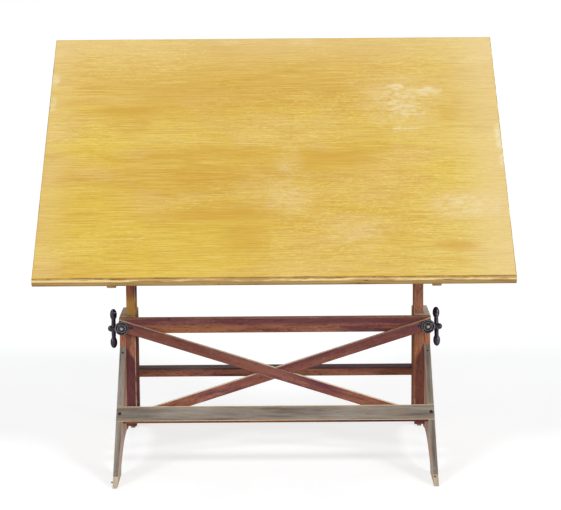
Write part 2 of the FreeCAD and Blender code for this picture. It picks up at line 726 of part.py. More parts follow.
# Posts with their pivot bolts and tilt clamps
POST = [
    Corner("-post_depth / 2", "post_bottom - pivot_height"),
    Corner("post_depth / 2", "post_bottom - pivot_height"),
    Corner("post_depth / 2", "0", centre=("0", "0")),
    Corner("-post_depth / 2", "0", held="v"),
]
BATTEN_OUTER = f"({BATTEN_INNER} + batten_width)"
PIVOT_NUT_SEAT = f"({QUADRANT_INNER} - clear_gap)"
TILT_WASHER_SEAT = f"({QUADRANT_INNER} - clear_gap)"
TILT_NUT_SEAT = f"({TILT_WASHER_SEAT} - washer_thickness - clear_gap)"
TILT_NUT_ANGLE = 25
pivot_bolts = []
pivot_nuts = []
pivot_washers = []
tilt_bolts = []
tilt_washers = []
for side_name, side in SIDES:
    pivot = (mirrored(side, f"{BATTEN_OUTER} + clear_gap"), POST_MIDDLE, "pivot_height")
    length = f"({BATTEN_OUTER} + clear_gap - {PIVOT_NUT_SEAT} + pivot_nut_thickness + bolt_end)"
    pivot_bolts.append(bolt(f"pivot_bolt_{side_name}", length, pivot, INWARD[side], OUTWARD[side]))
    pivot_hole = rod(f"pivot_bolt_hole_{side_name}", BOLT_HOLE, length, pivot, INWARD[side])
    nut_seat = (mirrored(side, PIVOT_NUT_SEAT), POST_MIDDLE, "pivot_height")
    nut = hexagon(
        f"pivot_nut_blank_{side_name}", "bolt_head_radius", "pivot_nut_thickness", nut_seat, INWARD[side])
    pivot_nuts.append(cut(f"pivot_nut_{side_name}", nut, [pivot_hole]))
    washer_seat = (mirrored(side, POST_OUTER), POST_MIDDLE, "pivot_height")
    pivot_washers.append(washer(f"pivot_washer_{side_name}", washer_seat, OUTWARD[side]))

    clamp = (mirrored(side, POST_OUTER), POST_MIDDLE, TILT_CLAMP_HEIGHT)
    length = f"({POST_OUTER} - {TILT_NUT_SEAT} + bolt_grip_in_nut)"
    clamp_bolt, clamp_holes = sunk(f"tilt_bolt_{side_name}", BOLT, length, clamp, INWARD[side])
    tilt_bolts.append(clamp_bolt)
    tilt_washer_seat = (mirrored(side, TILT_WASHER_SEAT), POST_MIDDLE, TILT_CLAMP_HEIGHT)
    tilt_washers.append(washer(f"tilt_washer_{side_name}", tilt_washer_seat, INWARD[side]))
    tilt_nut_seat = (mirrored(side, TILT_NUT_SEAT), POST_MIDDLE, TILT_CLAMP_HEIGHT)
    wing_nut(f"tilt_wing_nut_{side_name}", "tilt_wing_reach", tilt_nut_seat, -side, TILT_NUT_ANGLE)

    post = board(
        f"post_blank_{side_name}", "YZ_Plane", POST, "post_width",
        (slab_start(side, POST_INNER, "post_width"), POST_MIDDLE, "pivot_height"))
    slot_name = f"post_slot_{side_name}"
    slot_length = f"post_width + 2 * {OVERCUT}"
    slot_x = mirrored(side, f"{POST_INNER} - {OVERCUT}")
    slot_ends = []
    for end_name, height in (("top", "clamp_height"), ("bottom", "clamp_height - lift_travel")):
        end = (slot_x, POST_MIDDLE, height)
        slot_ends.append(rod(f"{slot_name}_{end_name}", SLOT_RADIUS, slot_length, end, OUTWARD[side]))
    slot_middle = box(
        slot_name + "_middle", (slot_length, f"2 * {SLOT_RADIUS}", "lift_travel"),
        (slab_start(side, f"{POST_INNER} - {OVERCUT}", slot_length),
         f"{POST_MIDDLE} - {SLOT_RADIUS}", "clamp_height - lift_travel"))
    tools = [pivot_hole, slot_middle] + clamp_holes + slot_ends
    node(f"post_{side_name}", cut(f"post_{side_name}", post, tools))
group("pivot_bolts", pivot_bolts)
group("pivot_nuts", pivot_nuts)
group("pivot_washers", pivot_washers)
group("tilt_clamp_bolts", tilt_bolts)
group("tilt_washers", tilt_washers)

# Board, battens and sectors, drawn level about the pivot and then set at the rest tilt
BATTEN_FRONT = "(batten_setback - pivot_to_front)"
BATTEN_BACK = "(board_depth - pivot_to_front - batten_setback)"
BATTEN = [
    Corner(BATTEN_FRONT, "pivot_below_board"),
    Corner(BATTEN_FRONT, "pivot_below_board - batten_end_height"),
    Corner(f"{BATTEN_FRONT} + batten_taper", "pivot_below_board - batten_height"),
    Corner(f"{BATTEN_BACK} - batten_taper", "pivot_below_board - batten_height"),
    Corner(BATTEN_BACK, "pivot_below_board - batten_end_height"),
    Corner(BATTEN_BACK, "pivot_below_board"),
]
QUADRANT_RIM = "(quadrant_radius + quadrant_rim)"
QUADRANT_END = "(tilt_max + quadrant_end_angle)"
QUADRANT_FRONT = f"(-{QUADRANT_RIM} * sin({QUADRANT_END}))"
QUADRANT_BACK = f"({QUADRANT_RIM} * sin(quadrant_end_angle))"
QUADRANT = [
    Corner(QUADRANT_FRONT, f"-{QUADRANT_RIM} * cos({QUADRANT_END})", held="v"),
    Corner(QUADRANT_FRONT, "pivot_below_board"),
    Corner(QUADRANT_BACK, "pivot_below_board"),
    Corner(QUADRANT_BACK, f"-{QUADRANT_RIM} * cos(quadrant_end_angle)", centre=("0", "0"), turn="right"),
]


def sector_point(radius, angle):
    """A point of the sector, at an angle forward of the line straight down from the pivot."""
    return f"-({radius}) * sin({angle})", f"-({radius}) * cos({angle})"


SLOT_BEGIN = "(-quadrant_slot_margin)"
SLOT_END = "(tilt_max + quadrant_slot_margin)"
SLOT_IN = f"(quadrant_radius - {SLOT_RADIUS})"
SLOT_OUT = f"(quadrant_radius + {SLOT_RADIUS})"
ARC_SLOT = [
    Corner(*sector_point(SLOT_IN, SLOT_BEGIN), centre=("0", "0"), turn="right"),
    Corner(*sector_point(SLOT_IN, SLOT_END), held="v"),
    Corner(*sector_point(SLOT_OUT, SLOT_END), centre=("0", "0"), turn="left"),
    Corner(*sector_point(SLOT_OUT, SLOT_BEGIN), held="u"),
]
board_holes = []
batten_screws = []
quadrant_screws = []
for side_name, side in SIDES:
    batten_holes = []
    batten_x = slab_start(side, BATTEN_INNER, "batten_width")
    span = f"({BATTEN_BACK} - {BATTEN_FRONT} - 2 * batten_screw_margin)"
    for step in range(SCREWS_PER_BATTEN):
        y = f"{BATTEN_FRONT} + batten_screw_margin + {span} * {step} / {SCREWS_PER_BATTEN - 1}"
        point = (f"{batten_x} + batten_width / 2", y, "pivot_below_board - batten_screw_grip")
        length = "batten_screw_grip + screw_bite"
        screw, holes = sunk(f"batten_screw_{side_name}_{step}", SCREW, length, point, "+Z", "batten_height")
        batten_screws.append(screw)
        batten_holes += holes
        board_holes.append(holes[0])
    pivot_start = (batten_x, "0", "0")
    batten_holes.append(
        rod(f"batten_bore_{side_name}", "bolt_radius + running_gap", "batten_width", pivot_start, "+X"))
    batten = board(f"batten_blank_{side_name}", "YZ_Plane", BATTEN, "batten_width", (batten_x, "0", "0"))
    node(f"batten_{side_name}", on_pivot(cut(f"batten_{side_name}", batten, batten_holes)))

    plate_x = slab_start(side, QUADRANT_INNER, "quadrant_thickness")
    plate_start = (plate_x, "0", "0")
    plate = board(f"quadrant_plate_{side_name}", "YZ_Plane", QUADRANT, "quadrant_thickness", plate_start)
    flange_width = "quadrant_flange_width + quadrant_thickness"
    flange_x = slab_start(side, f"{QUADRANT_INNER} - quadrant_flange_width", flange_width)
    flange = box(
        f"quadrant_flange_{side_name}",
        (flange_width, f"{QUADRANT_BACK} - {QUADRANT_FRONT}", "quadrant_flange_thickness"),
        (flange_x, QUADRANT_FRONT, "pivot_below_board - quadrant_flange_thickness"))
    slot = board(
        f"quadrant_slot_{side_name}", "YZ_Plane", ARC_SLOT, f"quadrant_thickness + 2 * {OVERCUT}",
        (f"{plate_x} - {OVERCUT}", "0", "0"))
    hub = rod(
        f"quadrant_bore_{side_name}", "bolt_radius + clear_gap", "quadrant_thickness", plate_start, "+X")
    quadrant_holes = [slot, hub]
    screw_x = mirrored(side, f"{QUADRANT_INNER} - quadrant_flange_width / 2")
    for place_name, y in (
        ("near", f"{QUADRANT_FRONT} + quadrant_screw_inset"),
        ("far", f"{QUADRANT_BACK} - quadrant_screw_inset"),
    ):
        point = (screw_x, y, "pivot_below_board - quadrant_flange_thickness")
        length = "quadrant_flange_thickness + screw_bite"
        screw, holes = sunk(f"quadrant_screw_{place_name}_{side_name}", SCREW, length, point, "+Z")
        quadrant_screws.append(screw)
        quadrant_holes += holes
        board_holes.append(holes[0])
    sector = fuse(f"quadrant_blank_{side_name}", [plate, flange])
    node(f"tilt_quadrant_{side_name}", on_pivot(cut(f"tilt_quadrant_{side_name}", sector, quadrant_holes)))
on_pivot(group("batten_screws", batten_screws))
on_pivot(group("quadrant_screws", quadrant_screws))
panel = box(
    "drawing_board_blank",
    ("board_width", "board_depth - edge_strip_depth", "board_thickness"),
    ("-board_width / 2", "edge_strip_depth - pivot_to_front", "pivot_below_board"))
node("drawing_board", on_pivot(cut("drawing_board", panel, board_holes)))
BOARD_TOP = "(pivot_below_board + board_thickness)"
EDGE_STRIP = [
    Corner("-pivot_to_front", "pivot_below_board"),
    Corner("edge_strip_depth - pivot_to_front", "pivot_below_board"),
    Corner("edge_strip_depth - pivot_to_front", BOARD_TOP),
    Corner("-pivot_to_front", BOARD_TOP),
]
strip = board("front_edge_strip", "YZ_Plane", EDGE_STRIP, "board_width", ("0", "0", "0"))
node("front_edge_strip", on_pivot(strip, "-board_width / 2"))

DOC.recompute()
for obj in DOC.Objects:
    if "Invalid" in obj.State or "Error" in obj.State:
        raise RuntimeError(f"{obj.Name} did not build: {obj.State}")
for obj in NODES:
    if obj.Shape.isNull() or not obj.Shape.isValid() or not obj.Shape.Solids:
        raise RuntimeError(f"{obj.Label} has no valid solid")

os.makedirs("parts", exist_ok=True)
for obj in NODES:
    obj.Shape.exportStep(f"parts/{obj.Label}.step")
print(len(NODES), "nodes written")
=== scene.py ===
# %% [markdown]
# # An old drafting table
# The table has a wide oak board that tilts on two posts. The posts slide up and
# down in a braced stand. The packed CAD model gives every size and every joint,
# so this lesson only dresses it: softer edges, worn finishes, cast iron fittings.
# The CAD box is kept, and printed beside the dressed table's box at the end.

# %% Load the frame
import json
import math

import bmesh
import bpy
from mathutils import Matrix, Vector, noise


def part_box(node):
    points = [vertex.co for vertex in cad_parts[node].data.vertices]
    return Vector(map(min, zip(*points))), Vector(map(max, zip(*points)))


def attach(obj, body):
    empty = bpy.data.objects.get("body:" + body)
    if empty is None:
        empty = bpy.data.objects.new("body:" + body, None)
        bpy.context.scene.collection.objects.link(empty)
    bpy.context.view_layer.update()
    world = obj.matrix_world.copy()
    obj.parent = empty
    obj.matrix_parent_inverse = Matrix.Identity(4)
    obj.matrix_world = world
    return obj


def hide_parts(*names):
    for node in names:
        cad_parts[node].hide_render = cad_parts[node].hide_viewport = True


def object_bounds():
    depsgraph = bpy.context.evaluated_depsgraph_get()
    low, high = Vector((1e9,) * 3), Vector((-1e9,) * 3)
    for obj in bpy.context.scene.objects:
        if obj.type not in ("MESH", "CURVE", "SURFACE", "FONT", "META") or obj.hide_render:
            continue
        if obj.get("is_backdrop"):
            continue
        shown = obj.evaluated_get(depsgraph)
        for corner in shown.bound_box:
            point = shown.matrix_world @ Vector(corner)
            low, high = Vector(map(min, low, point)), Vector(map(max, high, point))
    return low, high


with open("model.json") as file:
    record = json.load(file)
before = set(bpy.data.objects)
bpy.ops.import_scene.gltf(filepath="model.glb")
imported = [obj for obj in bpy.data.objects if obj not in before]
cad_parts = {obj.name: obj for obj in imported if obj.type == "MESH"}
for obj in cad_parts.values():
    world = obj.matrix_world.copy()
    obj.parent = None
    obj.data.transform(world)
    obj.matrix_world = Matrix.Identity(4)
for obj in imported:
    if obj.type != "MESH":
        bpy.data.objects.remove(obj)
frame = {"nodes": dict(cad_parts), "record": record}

cad_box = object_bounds()
body_of_node = {}
for body, members in frame["record"]["behaviour"]["bodies"].items():
    for member in members:
        body_of_node[member] = body

# %% [markdown]
# ## Camera
# The table was seen from a little above and from far off, almost square on. A camera
# can be aimed by eye or from known points. Here the corners of the board, the feet
# and the rails gave one place, lens, yaw, pitch and roll for them all.

# %% Camera
PHOTO_WIDTH = 561
FOCAL_PIXELS = 2040.85
SENSOR_WIDTH = 36
SIGHT_END = 200
CAMERA_PLACE = (0.01952, -5.41925, 1.37724)
CAMERA_YAW = math.radians(-0.0346)
CAMERA_PITCH = math.radians(8.8252)
CAMERA_ROLL = math.radians(-0.42)

camera = bpy.data.objects.new("camera", bpy.data.cameras.new("camera"))
camera.data.sensor_fit = "HORIZONTAL"
camera.data.sensor_width = SENSOR_WIDTH
camera.data.lens = FOCAL_PIXELS * SENSOR_WIDTH / PHOTO_WIDTH
camera.data.clip_end = SIGHT_END
camera.matrix_world = (
    Matrix.Translation(CAMERA_PLACE)
    @ Matrix.Rotation(-CAMERA_YAW, 4, "Z")
    @ Matrix.Rotation(math.pi / 2 - CAMERA_PITCH, 4, "X")
    @ Matrix.Rotation(CAMERA_ROLL, 4, "Z")
)
bpy.context.scene.collection.objects.link(camera)
bpy.context.scene.camera = camera
bpy.context.scene.view_settings.view_transform = "Standard"
print("lens", round(camera.data.lens, 2))

# %% [markdown]
# ## Finishes
# A finish on the real table is never one flat colour. A picture could be wrapped
# round each board, but its seams would show, so a finish is laid in coats of noise,
# stretched along the grain, its own X. The three numbers of a noise are its spots
# per metre, along the board and across it. A band turns part of a noise into a share
# from none to full, and lay paints one more colour over the last by that share.

# %% A finish and its node calls


class Finish:
    def __init__(self, name, along=(1, 0, 0), centre=(0, 0, 0)):
        self.material = bpy.data.materials.new(name)
        self.material.use_nodes = True
        self.tree = self.material.node_tree
        self.shader = self.tree.nodes["Principled BSDF"]
        self.spot = self.add("ShaderNodeTexCoord", {}).outputs["Object"]
        turn = Vector(along).to_track_quat("X", "Z").to_euler()
        sockets = {"Vector": self.spot, "Location": centre, "Rotation": turn}
        self.mapping = self.add("ShaderNodeMapping", sockets, vector_type="TEXTURE")
        self.place = self.mapping.outputs["Vector"]

    def add(self, kind, sockets, **settings):
        node = self.tree.nodes.new(kind)
        for key, value in settings.items():
            setattr(node, key, value)
        self.fill(node, sockets)
        return node

    def fill(self, node, sockets):
        for key, value in sockets.items():
            if isinstance(value, bpy.types.NodeSocket):
                self.tree.links.new(value, node.inputs[key])
            else:
                node.inputs[key].default_value = value

    def maths(self, operation, first, second=0.0):
        sockets = {0: first, 1: second}
        return self.add("ShaderNodeMath", sockets, operation=operation).outputs[0]

    def vector(self, operation, first, second=(0, 0, 0)):
        sockets = {0: first, 1: second}
        return self.add("ShaderNodeVectorMath", sockets, operation=operation).outputs

    def share(self, value, amount):
        return self.maths("MULTIPLY", value, amount)

    def away(self, value, line):
        return self.maths("ABSOLUTE", self.maths("SUBTRACT", value, line))

    def axes(self, place=None):
        return self.add("ShaderNodeSeparateXYZ", {0: place or self.place}).outputs

    def height(self):
        return self.axes(self.spot)["Z"]

    def noise(self, stretch, detail=4, roughness=0.65, wander=0.0):
        node = self.add("ShaderNodeTexNoise", {
            "Vector": self.vector("MULTIPLY", self.place, stretch)["Vector"],
            "Scale": 1, "Detail": detail, "Roughness": roughness, "Distortion": wander,
        })
        return node.outputs["Fac"]

    def ramp(self, value, stops, light=0.0):
        node = self.add("ShaderNodeValToRGB", {"Fac": value})
        marks = node.color_ramp.elements
        while len(marks) < len(stops):
            marks.new(1)
        for mark, (place, colour) in zip(marks, stops):
            mark.position = place - light
            level = colour if isinstance(colour, tuple) else (colour,) * 3
            mark.color = (*level, 1)
        return node.outputs["Color"]

    def band(self, value, start, full):
        sockets = {"Value": value, "From Min": start, "From Max": full}
        node = self.add("ShaderNodeMapRange", sockets, interpolation_type="SMOOTHSTEP")
        return node.outputs["Result"]

    def base(self, value, stops, light=0.0):
        self.colour = self.ramp(value, stops, light)

    def cover(self, share, over):
        sockets = {0: share, 6: self.colour, 7: (*over, 1)}
        self.colour = self.add("ShaderNodeMix", sockets, data_type="RGBA").outputs[2]

    def lay(self, over, value, start, full, amount=1.0):
        share = self.band(value, start, full)
        if amount < 1:
            share = self.share(share, amount)
        self.cover(share, over)

    def bump(self, value, strength, depth):
        sockets = {"Height": value, "Strength": strength, "Distance": depth}
        node = self.add("ShaderNodeBump", sockets)
        self.fill(self.shader, {"Normal": node.outputs["Normal"]})

    def surface(self, roughness, metal=0.0, gloss=0.5):
        self.fill(self.shader, {
            "Base Color": self.colour, "Roughness": roughness,
            "Metallic": metal, "Specular IOR Level": gloss,
        })
        return self.material


print("finish calls", [name for name in vars(Finish) if "__" not in name])

# %% [markdown]
# ## Floor and backdrop
# The table stands on a pale floor in a plain studio. The floor must look white and
# still keep the shadow. Stronger lamps would wash out the table, so what the camera
# sees of the floor is part paint and part glow, and it bounces light as paint. The
# room looks white in the same way, and lights the table far less.

# %% Floor and backdrop
FLOOR_REACH = 40
FLOOR_BOUNCE = (0.8, 0.8, 0.8)
FLOOR_PAINT = (0.515, 0.525, 0.534)
FLOOR_GLOW = 0.64
ROOM_LIGHT = 0.30
WHITE = (1, 1, 1)


def seen_share(tree):
    path = tree.nodes.new("ShaderNodeLightPath")
    either = tree.nodes.new("ShaderNodeMath")
    either.operation = "MAXIMUM"
    tree.links.new(path.outputs["Is Camera Ray"], either.inputs[0])
    tree.links.new(path.outputs["Is Glossy Ray"], either.inputs[1])
    every = tree.nodes.new("ShaderNodeMath")
    every.operation = "MAXIMUM"
    tree.links.new(either.outputs[0], every.inputs[0])
    tree.links.new(path.outputs["Is Transmission Ray"], every.inputs[1])
    return every.outputs[0]


def show_seen(tree, unseen, seen, out):
    pick = tree.nodes.new("ShaderNodeMixShader")
    tree.links.new(seen_share(tree), pick.inputs["Fac"])
    tree.links.new(unseen.outputs[0], pick.inputs[1])
    tree.links.new(seen.outputs[0], pick.inputs[2])
    tree.links.new(pick.outputs[0], out.inputs["Surface"])


def coloured(tree, kind, colour):
    node = tree.nodes.new(kind)
    node.inputs["Color"].default_value = (*colour, 1)
    return node


def cleared_tree(owner):
    owner.use_nodes = True
    owner.node_tree.nodes.clear()
    return owner.node_tree


def floor_paint():
    paint = bpy.data.materials.new("floor_paint")
    tree = cleared_tree(paint)
    bounce = coloured(tree, "ShaderNodeBsdfDiffuse", FLOOR_BOUNCE)
    shade = coloured(tree, "ShaderNodeBsdfDiffuse", FLOOR_PAINT)
    glow = coloured(tree, "ShaderNodeEmission", WHITE)
    glow.inputs["Strength"].default_value = FLOOR_GLOW
    both = tree.nodes.new("ShaderNodeAddShader")
    tree.links.new(shade.outputs[0], both.inputs[0])
    tree.links.new(glow.outputs[0], both.inputs[1])
    show_seen(tree, bounce, both, tree.nodes.new("ShaderNodeOutputMaterial"))
    return paint


def studio_room():
    room = bpy.data.worlds.new("studio_room")
    tree = cleared_tree(room)
    light = coloured(tree, "ShaderNodeBackground", WHITE)
    light.inputs["Strength"].default_value = ROOM_LIGHT
    white = coloured(tree, "ShaderNodeBackground", WHITE)
    show_seen(tree, light, white, tree.nodes.new("ShaderNodeOutputWorld"))
    return room


floor_shape = bmesh.new()
bmesh.ops.create_grid(floor_shape, x_segments=1, y_segments=1, size=FLOOR_REACH)
floor_mesh = bpy.data.meshes.new("floor")
floor_shape.to_mesh(floor_mesh)
floor_shape.free()
floor_mesh.materials.append(floor_paint())
floor = bpy.data.objects.new("floor", floor_mesh)
bpy.context.scene.collection.objects.link(floor)
floor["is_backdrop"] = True
bpy.context.scene.world = studio_room()
print("floor", FLOOR_REACH, "room light", ROOM_LIGHT)

# %% [markdown]
# ## Lamps
# A tall soft lamp stands far off to the left of the camera and another to the right,
# the right one stronger. Near lamps would leave a bright pool on the floor, so each
# is an upper and a lower sun lamp, which is even all over: the upper one lights the
# board, and the lower one reaches under it. A weak lamp behind shows the underside.

# %% Lamps
LAMP_AWAY = 4
LAMPS = (  # name, degrees to the right, degrees up, softness in degrees, strength
    ("right_upper_lamp", 43, 37, 12, 0.88),
    ("right_lower_lamp", 40, 9, 12, 0.90),
    ("left_upper_lamp", -43, 37, 12, 0.80),
    ("left_lower_lamp", -40, 9, 12, 0.55),
    ("back_lamp", 180, 35, 20, 0.45),
)


def soft_lamp(name, side_angle, height_angle, softness, strength):
    lamp = bpy.data.objects.new(name, bpy.data.lights.new(name, "SUN"))
    lamp.data.energy = strength
    lamp.data.angle = math.radians(softness)
    side, height = math.radians(side_angle), math.radians(height_angle)
    away = Vector((
        math.sin(side) * math.cos(height),
        -math.cos(side) * math.cos(height),
        math.sin(height),
    ))
    lamp.location = LAMP_AWAY * away
    lamp.rotation_euler = away.to_track_quat("Z", "Y").to_euler()
    bpy.context.scene.collection.objects.link(lamp)


for lamp_values in LAMPS:
    soft_lamp(*lamp_values)
print("lamps", len(LAMPS))

# %% [markdown]
# ## Stained wood of the stand
# The stand is a reddish brown stain over light wood. Ready wood textures are too even
# for it, so the coats follow the real ones: slow changes of tone, warm and plum zones,
# long streaks, dark flecks, and spots where the stain is rubbed thin. Every board gets
# its own place in the noise, so no two look alike.

# %% Stained wood
STAIN_DARK = (0.100, 0.031, 0.028)
STAIN_MIDDLE = (0.235, 0.084, 0.060)
STAIN_LIGHT = (0.400, 0.170, 0.105)
STAIN_RUBBED = (0.500, 0.275, 0.165)
STAIN_WARM = (0.440, 0.180, 0.065)
STAIN_PLUM = (0.122, 0.038, 0.070)


def stain(finish, light):
    tone = finish.noise((4, 34, 34), roughness=0.62, wander=0.3)
    stops = [(0.28, STAIN_DARK), (0.46, STAIN_MIDDLE), (0.68, STAIN_LIGHT)]
    finish.base(tone, stops, light)
    zones = finish.noise((2.4, 28, 28), detail=3, roughness=0.5, wander=0.4)
    finish.lay(STAIN_WARM, zones, 0.51, 0.64, 0.5)
    finish.lay(STAIN_PLUM, zones, 0.52 - light / 2, 0.40 - light / 2, 0.75)
    streaks = finish.noise((14, 260, 260), detail=5)
    finish.lay(STAIN_DARK, streaks, 0.50, 0.32, 0.55)
    flecks = finish.noise((70, 330, 330), roughness=0.7)
    finish.lay(STAIN_DARK, flecks, 0.48, 0.34, 0.7)
    rubbed = finish.noise((26, 90, 90), detail=6, roughness=0.7)
    finish.lay(STAIN_RUBBED, rubbed, 0.54, 0.72, 0.7)
    return streaks


print("stain colours", STAIN_DARK, "to", STAIN_LIGHT)

# %% [markdown]
# ## Painted shade, slid and worn stain
# Dark plum is painted over the stain as shade where a neighbour shades a board, and the
# stain went to gold where one board slides in another. Both zones could be painted by
# hand. Here they are picked by height, and the painted shade may lean outwards and is
# broken by noise. Edges that are worn down show the pale wood under the stain.

# %% Painted shade, slid and worn stain
STAIN_GOLD = (0.520, 0.290, 0.070)
EDGE_PALE = (0.760, 0.610, 0.420)
SLID_START = 0.012
SLID_END = 0.030
STAIN_BUMP = (0.35, 0.0006)


# Painted shade: a share of dark plum by height, leaning outwards, broken by noise.
def shade_share(finish, start, full, lean):
    axes = finish.axes(finish.spot)
    outwards = finish.share(finish.maths("ABSOLUTE", axes["X"]), lean)
    shaded = finish.band(finish.maths("SUBTRACT", axes["Z"], outwards), start, full)
    patchy = finish.band(finish.noise((3, 50, 50), roughness=0.55), 0.22, 0.44)
    return finish.share(shaded, patchy)


def slid_bare(finish, low, high):
    above = finish.band(finish.height(), low, low + SLID_START)
    below = finish.band(finish.height(), high, high - SLID_END)
    return finish.share(above, below)


def stained_wood(name, along, centre, light=0.0, gold=None, painted_shade=None):
    finish = Finish(name, along, centre)
    streaks = stain(finish, light)
    # A zone of painted shade covers the stain in dark plum.
    if painted_shade:
        zone, amount = painted_shade
        finish.cover(finish.share(shade_share(finish, *zone), amount), STAIN_PLUM)
    if gold:
        finish.cover(finish.share(slid_bare(finish, *gold), 0.75), STAIN_GOLD)
    finish.bump(streaks, *STAIN_BUMP)
    shine = finish.ramp(streaks, [(0.3, 0.62), (0.7, 0.46)])
    return finish.surface(shine, gloss=0.0)


def worn_edge(name, along, centre, light=0.0, wear=0.0, pale=EDGE_PALE):
    finish = Finish(name, along, centre)
    streaks = stain(finish, light)
    rub = finish.noise((14, 40, 40), detail=5)
    finish.lay(pale, rub, 0.52 - wear, 0.64 - wear)
    finish.bump(streaks, *STAIN_BUMP)
    return finish.surface(0.65, gloss=0.1)


print("a slid zone fades over", SLID_END, "m")

# %% [markdown]
# ## Grey weathered wood
# The fronts of the legs and the lower rail lost their stain to light and damp: they are
# grey, with ochre streaks where some stain is left and dark cracks along the grain.
# The stained wood's coats serve again, in grey and with a deeper bump. Plum stain may
# be left in it, more towards the right. The flat tops of the side boards and guides are
# the palest places of the stand: dust on them, painted paler still as painted light.

# %% Grey weathered wood
GREY_DARK = (0.105, 0.082, 0.068)
GREY_MIDDLE = (0.230, 0.198, 0.166)
GREY_LIGHT = (0.370, 0.330, 0.295)
GREY_OCHRE = (0.310, 0.200, 0.105)
# Colours of the tops: dust, painted paler as light that falls on them.
DUST_LIT_DARK = (0.300, 0.240, 0.170)
DUST_LIT_MIDDLE = (0.480, 0.420, 0.320)
DUST_LIT_PALE = (0.740, 0.690, 0.580)
PLUM_START, PLUM_FULL = -0.9, -0.4


def weathered_wood(name, along, centre, light=0.0, plum=0.0):
    finish = Finish(name, along, centre)
    tone = finish.noise((5, 60, 60))
    stops = [(0.26, GREY_DARK), (0.46, GREY_MIDDLE), (0.72, GREY_LIGHT)]
    finish.base(tone, stops, light)
    ochre = finish.noise((9, 130, 130), roughness=0.6)
    finish.lay(GREY_OCHRE, ochre, 0.55, 0.75)
    cracks = finish.noise((22, 620, 620), roughness=0.7)
    finish.lay(GREY_DARK, cracks, 0.42, 0.30)
    if plum:
        uneven = finish.band(finish.axes()["X"], PLUM_START, PLUM_FULL)
        uneven = finish.maths("ADD", finish.share(uneven, plum), plum)
        finish.cover(uneven, STAIN_PLUM)
    finish.bump(cracks, 0.6, 0.0009)
    return finish.surface(0.8, gloss=0.1)


def dust_and_light_top(name, along, centre, light=0.0):
    finish = Finish(name, along, centre)
    dust_and_light = finish.noise((30, 160, 160), detail=5)
    stops = [(0.30, DUST_LIT_DARK), (0.50, DUST_LIT_MIDDLE), (0.70, DUST_LIT_PALE)]
    finish.base(dust_and_light, stops, light)
    finish.bump(dust_and_light, 0.4, 0.0006)
    return finish.surface(0.85, gloss=0.05)


print("grey", GREY_LIGHT, "dust_and_light", DUST_LIT_PALE)

# %% [markdown]
# ## Pieces that stand for CAD nodes
# Each new piece rides on the body of its node and takes the node's place. Its shape
# starts as a copy of the node's mesh, so nothing has to be measured again. That mesh
# is loose triangles, so they are merged first and the flat faces joined.

# %% Pieces that stand for CAD nodes
MERGE_REACH = 1e-6
FLAT = math.radians(0.5)


def new_piece(name, shape, materials, body, smooth=False):
    mesh = bpy.data.meshes.new(name)
    shape.to_mesh(mesh)
    shape.free()
    for material in materials:
        mesh.materials.append(material)
    mesh.polygons.foreach_set("use_smooth", [smooth] * len(mesh.polygons))
    piece = bpy.data.objects.new(name, mesh)
    bpy.context.scene.collection.objects.link(piece)
    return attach(piece, body)


def stand_in(node, ending, shape, materials, smooth=False):
    piece = new_piece(node + ending, shape, materials, body_of_node[node], smooth)
    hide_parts(node)
    return piece


def merged(node):
    shape = bmesh.new()
    shape.from_mesh(frame["nodes"][node].data)
    bmesh.ops.remove_doubles(shape, verts=shape.verts, dist=MERGE_REACH)
    bmesh.ops.dissolve_limit(
        shape, angle_limit=FLAT, verts=shape.verts, edges=shape.edges
    )
    return shape


print("faces under", round(math.degrees(FLAT), 2), "degrees apart count as one")

# %% [markdown]
# ## Boards with eased edges
# A CAD board has knife edges, but years of use have rubbed the real ones round. A Bevel
# modifier would treat all edges alike. With bmesh, the long edges that are worn down
# further are beveled first and wider, then every other sharp edge narrowly. The ends
# of a worn edge are left as they are, and edges that end up with no length are removed.
# A small rule picks the finish of each face: body, worn edge, or a third such as dust.

# %% Boards with eased edges
SHARP = math.radians(40)
NO_LENGTH = 2e-6
BOARD_EASE = 0.0012
BODY_SLOT, WORN_SLOT, THIRD_SLOT = range(3)


def rounded(shape, edges, width, segments):
    made = bmesh.ops.bevel(
        shape, geom=edges, offset=width, offset_type="OFFSET", segments=segments,
        profile=0.5, affect="EDGES", material=-1, clamp_overlap=False,
    )
    return made["faces"]


def is_sharp(edge):
    if not edge.is_manifold or edge.calc_face_angle() < SHARP:
        return False
    return all(face.material_index != WORN_SLOT for face in edge.link_faces)


def ease(shape, width):
    shape.normal_update()
    sharp = [edge for edge in shape.edges if is_sharp(edge)]
    made = rounded(shape, sharp, width, 2)
    bmesh.ops.dissolve_degenerate(shape, edges=shape.edges, dist=NO_LENGTH)
    shape.normal_update()
    return {face for face in made if face.is_valid}


def wear_edge(shape, way, width):
    shape.normal_update()
    longest = max(edge.calc_length() for edge in shape.edges)
    chosen = []
    for edge in shape.edges:
        if not edge.is_manifold or edge.calc_length() < 0.5 * longest:
            continue
        lean = (edge.link_faces[0].normal + edge.link_faces[1].normal).normalized()
        if edge.calc_face_angle() > SHARP and lean.dot(way) > 0.9:
            chosen.append(edge)
    for face in rounded(shape, chosen, width, 3):
        face.material_index = WORN_SLOT


def eased_board(node, materials, width, pick, worn=(), reshape=None):
    shape = merged(node)
    for way, worn_width in worn:
        wear_edge(shape, way, worn_width)
    eased = ease(shape, width)
    for face in shape.faces:
        if face.material_index != WORN_SLOT:
            face.material_index = pick(face.normal, face in eased)
    if reshape:
        reshape(shape)
        shape.normal_update()
    print(node, "faces", len(shape.faces))
    stand_in(node, "_eased", shape, materials)


print("edges over", round(math.degrees(SHARP)), "degrees are eased")

# %% [markdown]
# ## Where the oak board is worn
# The board is golden oak, with its grain along the width. Old shellac has turned it
# yellow and orange in zones, and it is scuffed pale where work was done. Such places
# can't come from noise alone, so they are listed: the middle, the half sizes and the
# strength of each patch, in the board's own tilted frame.

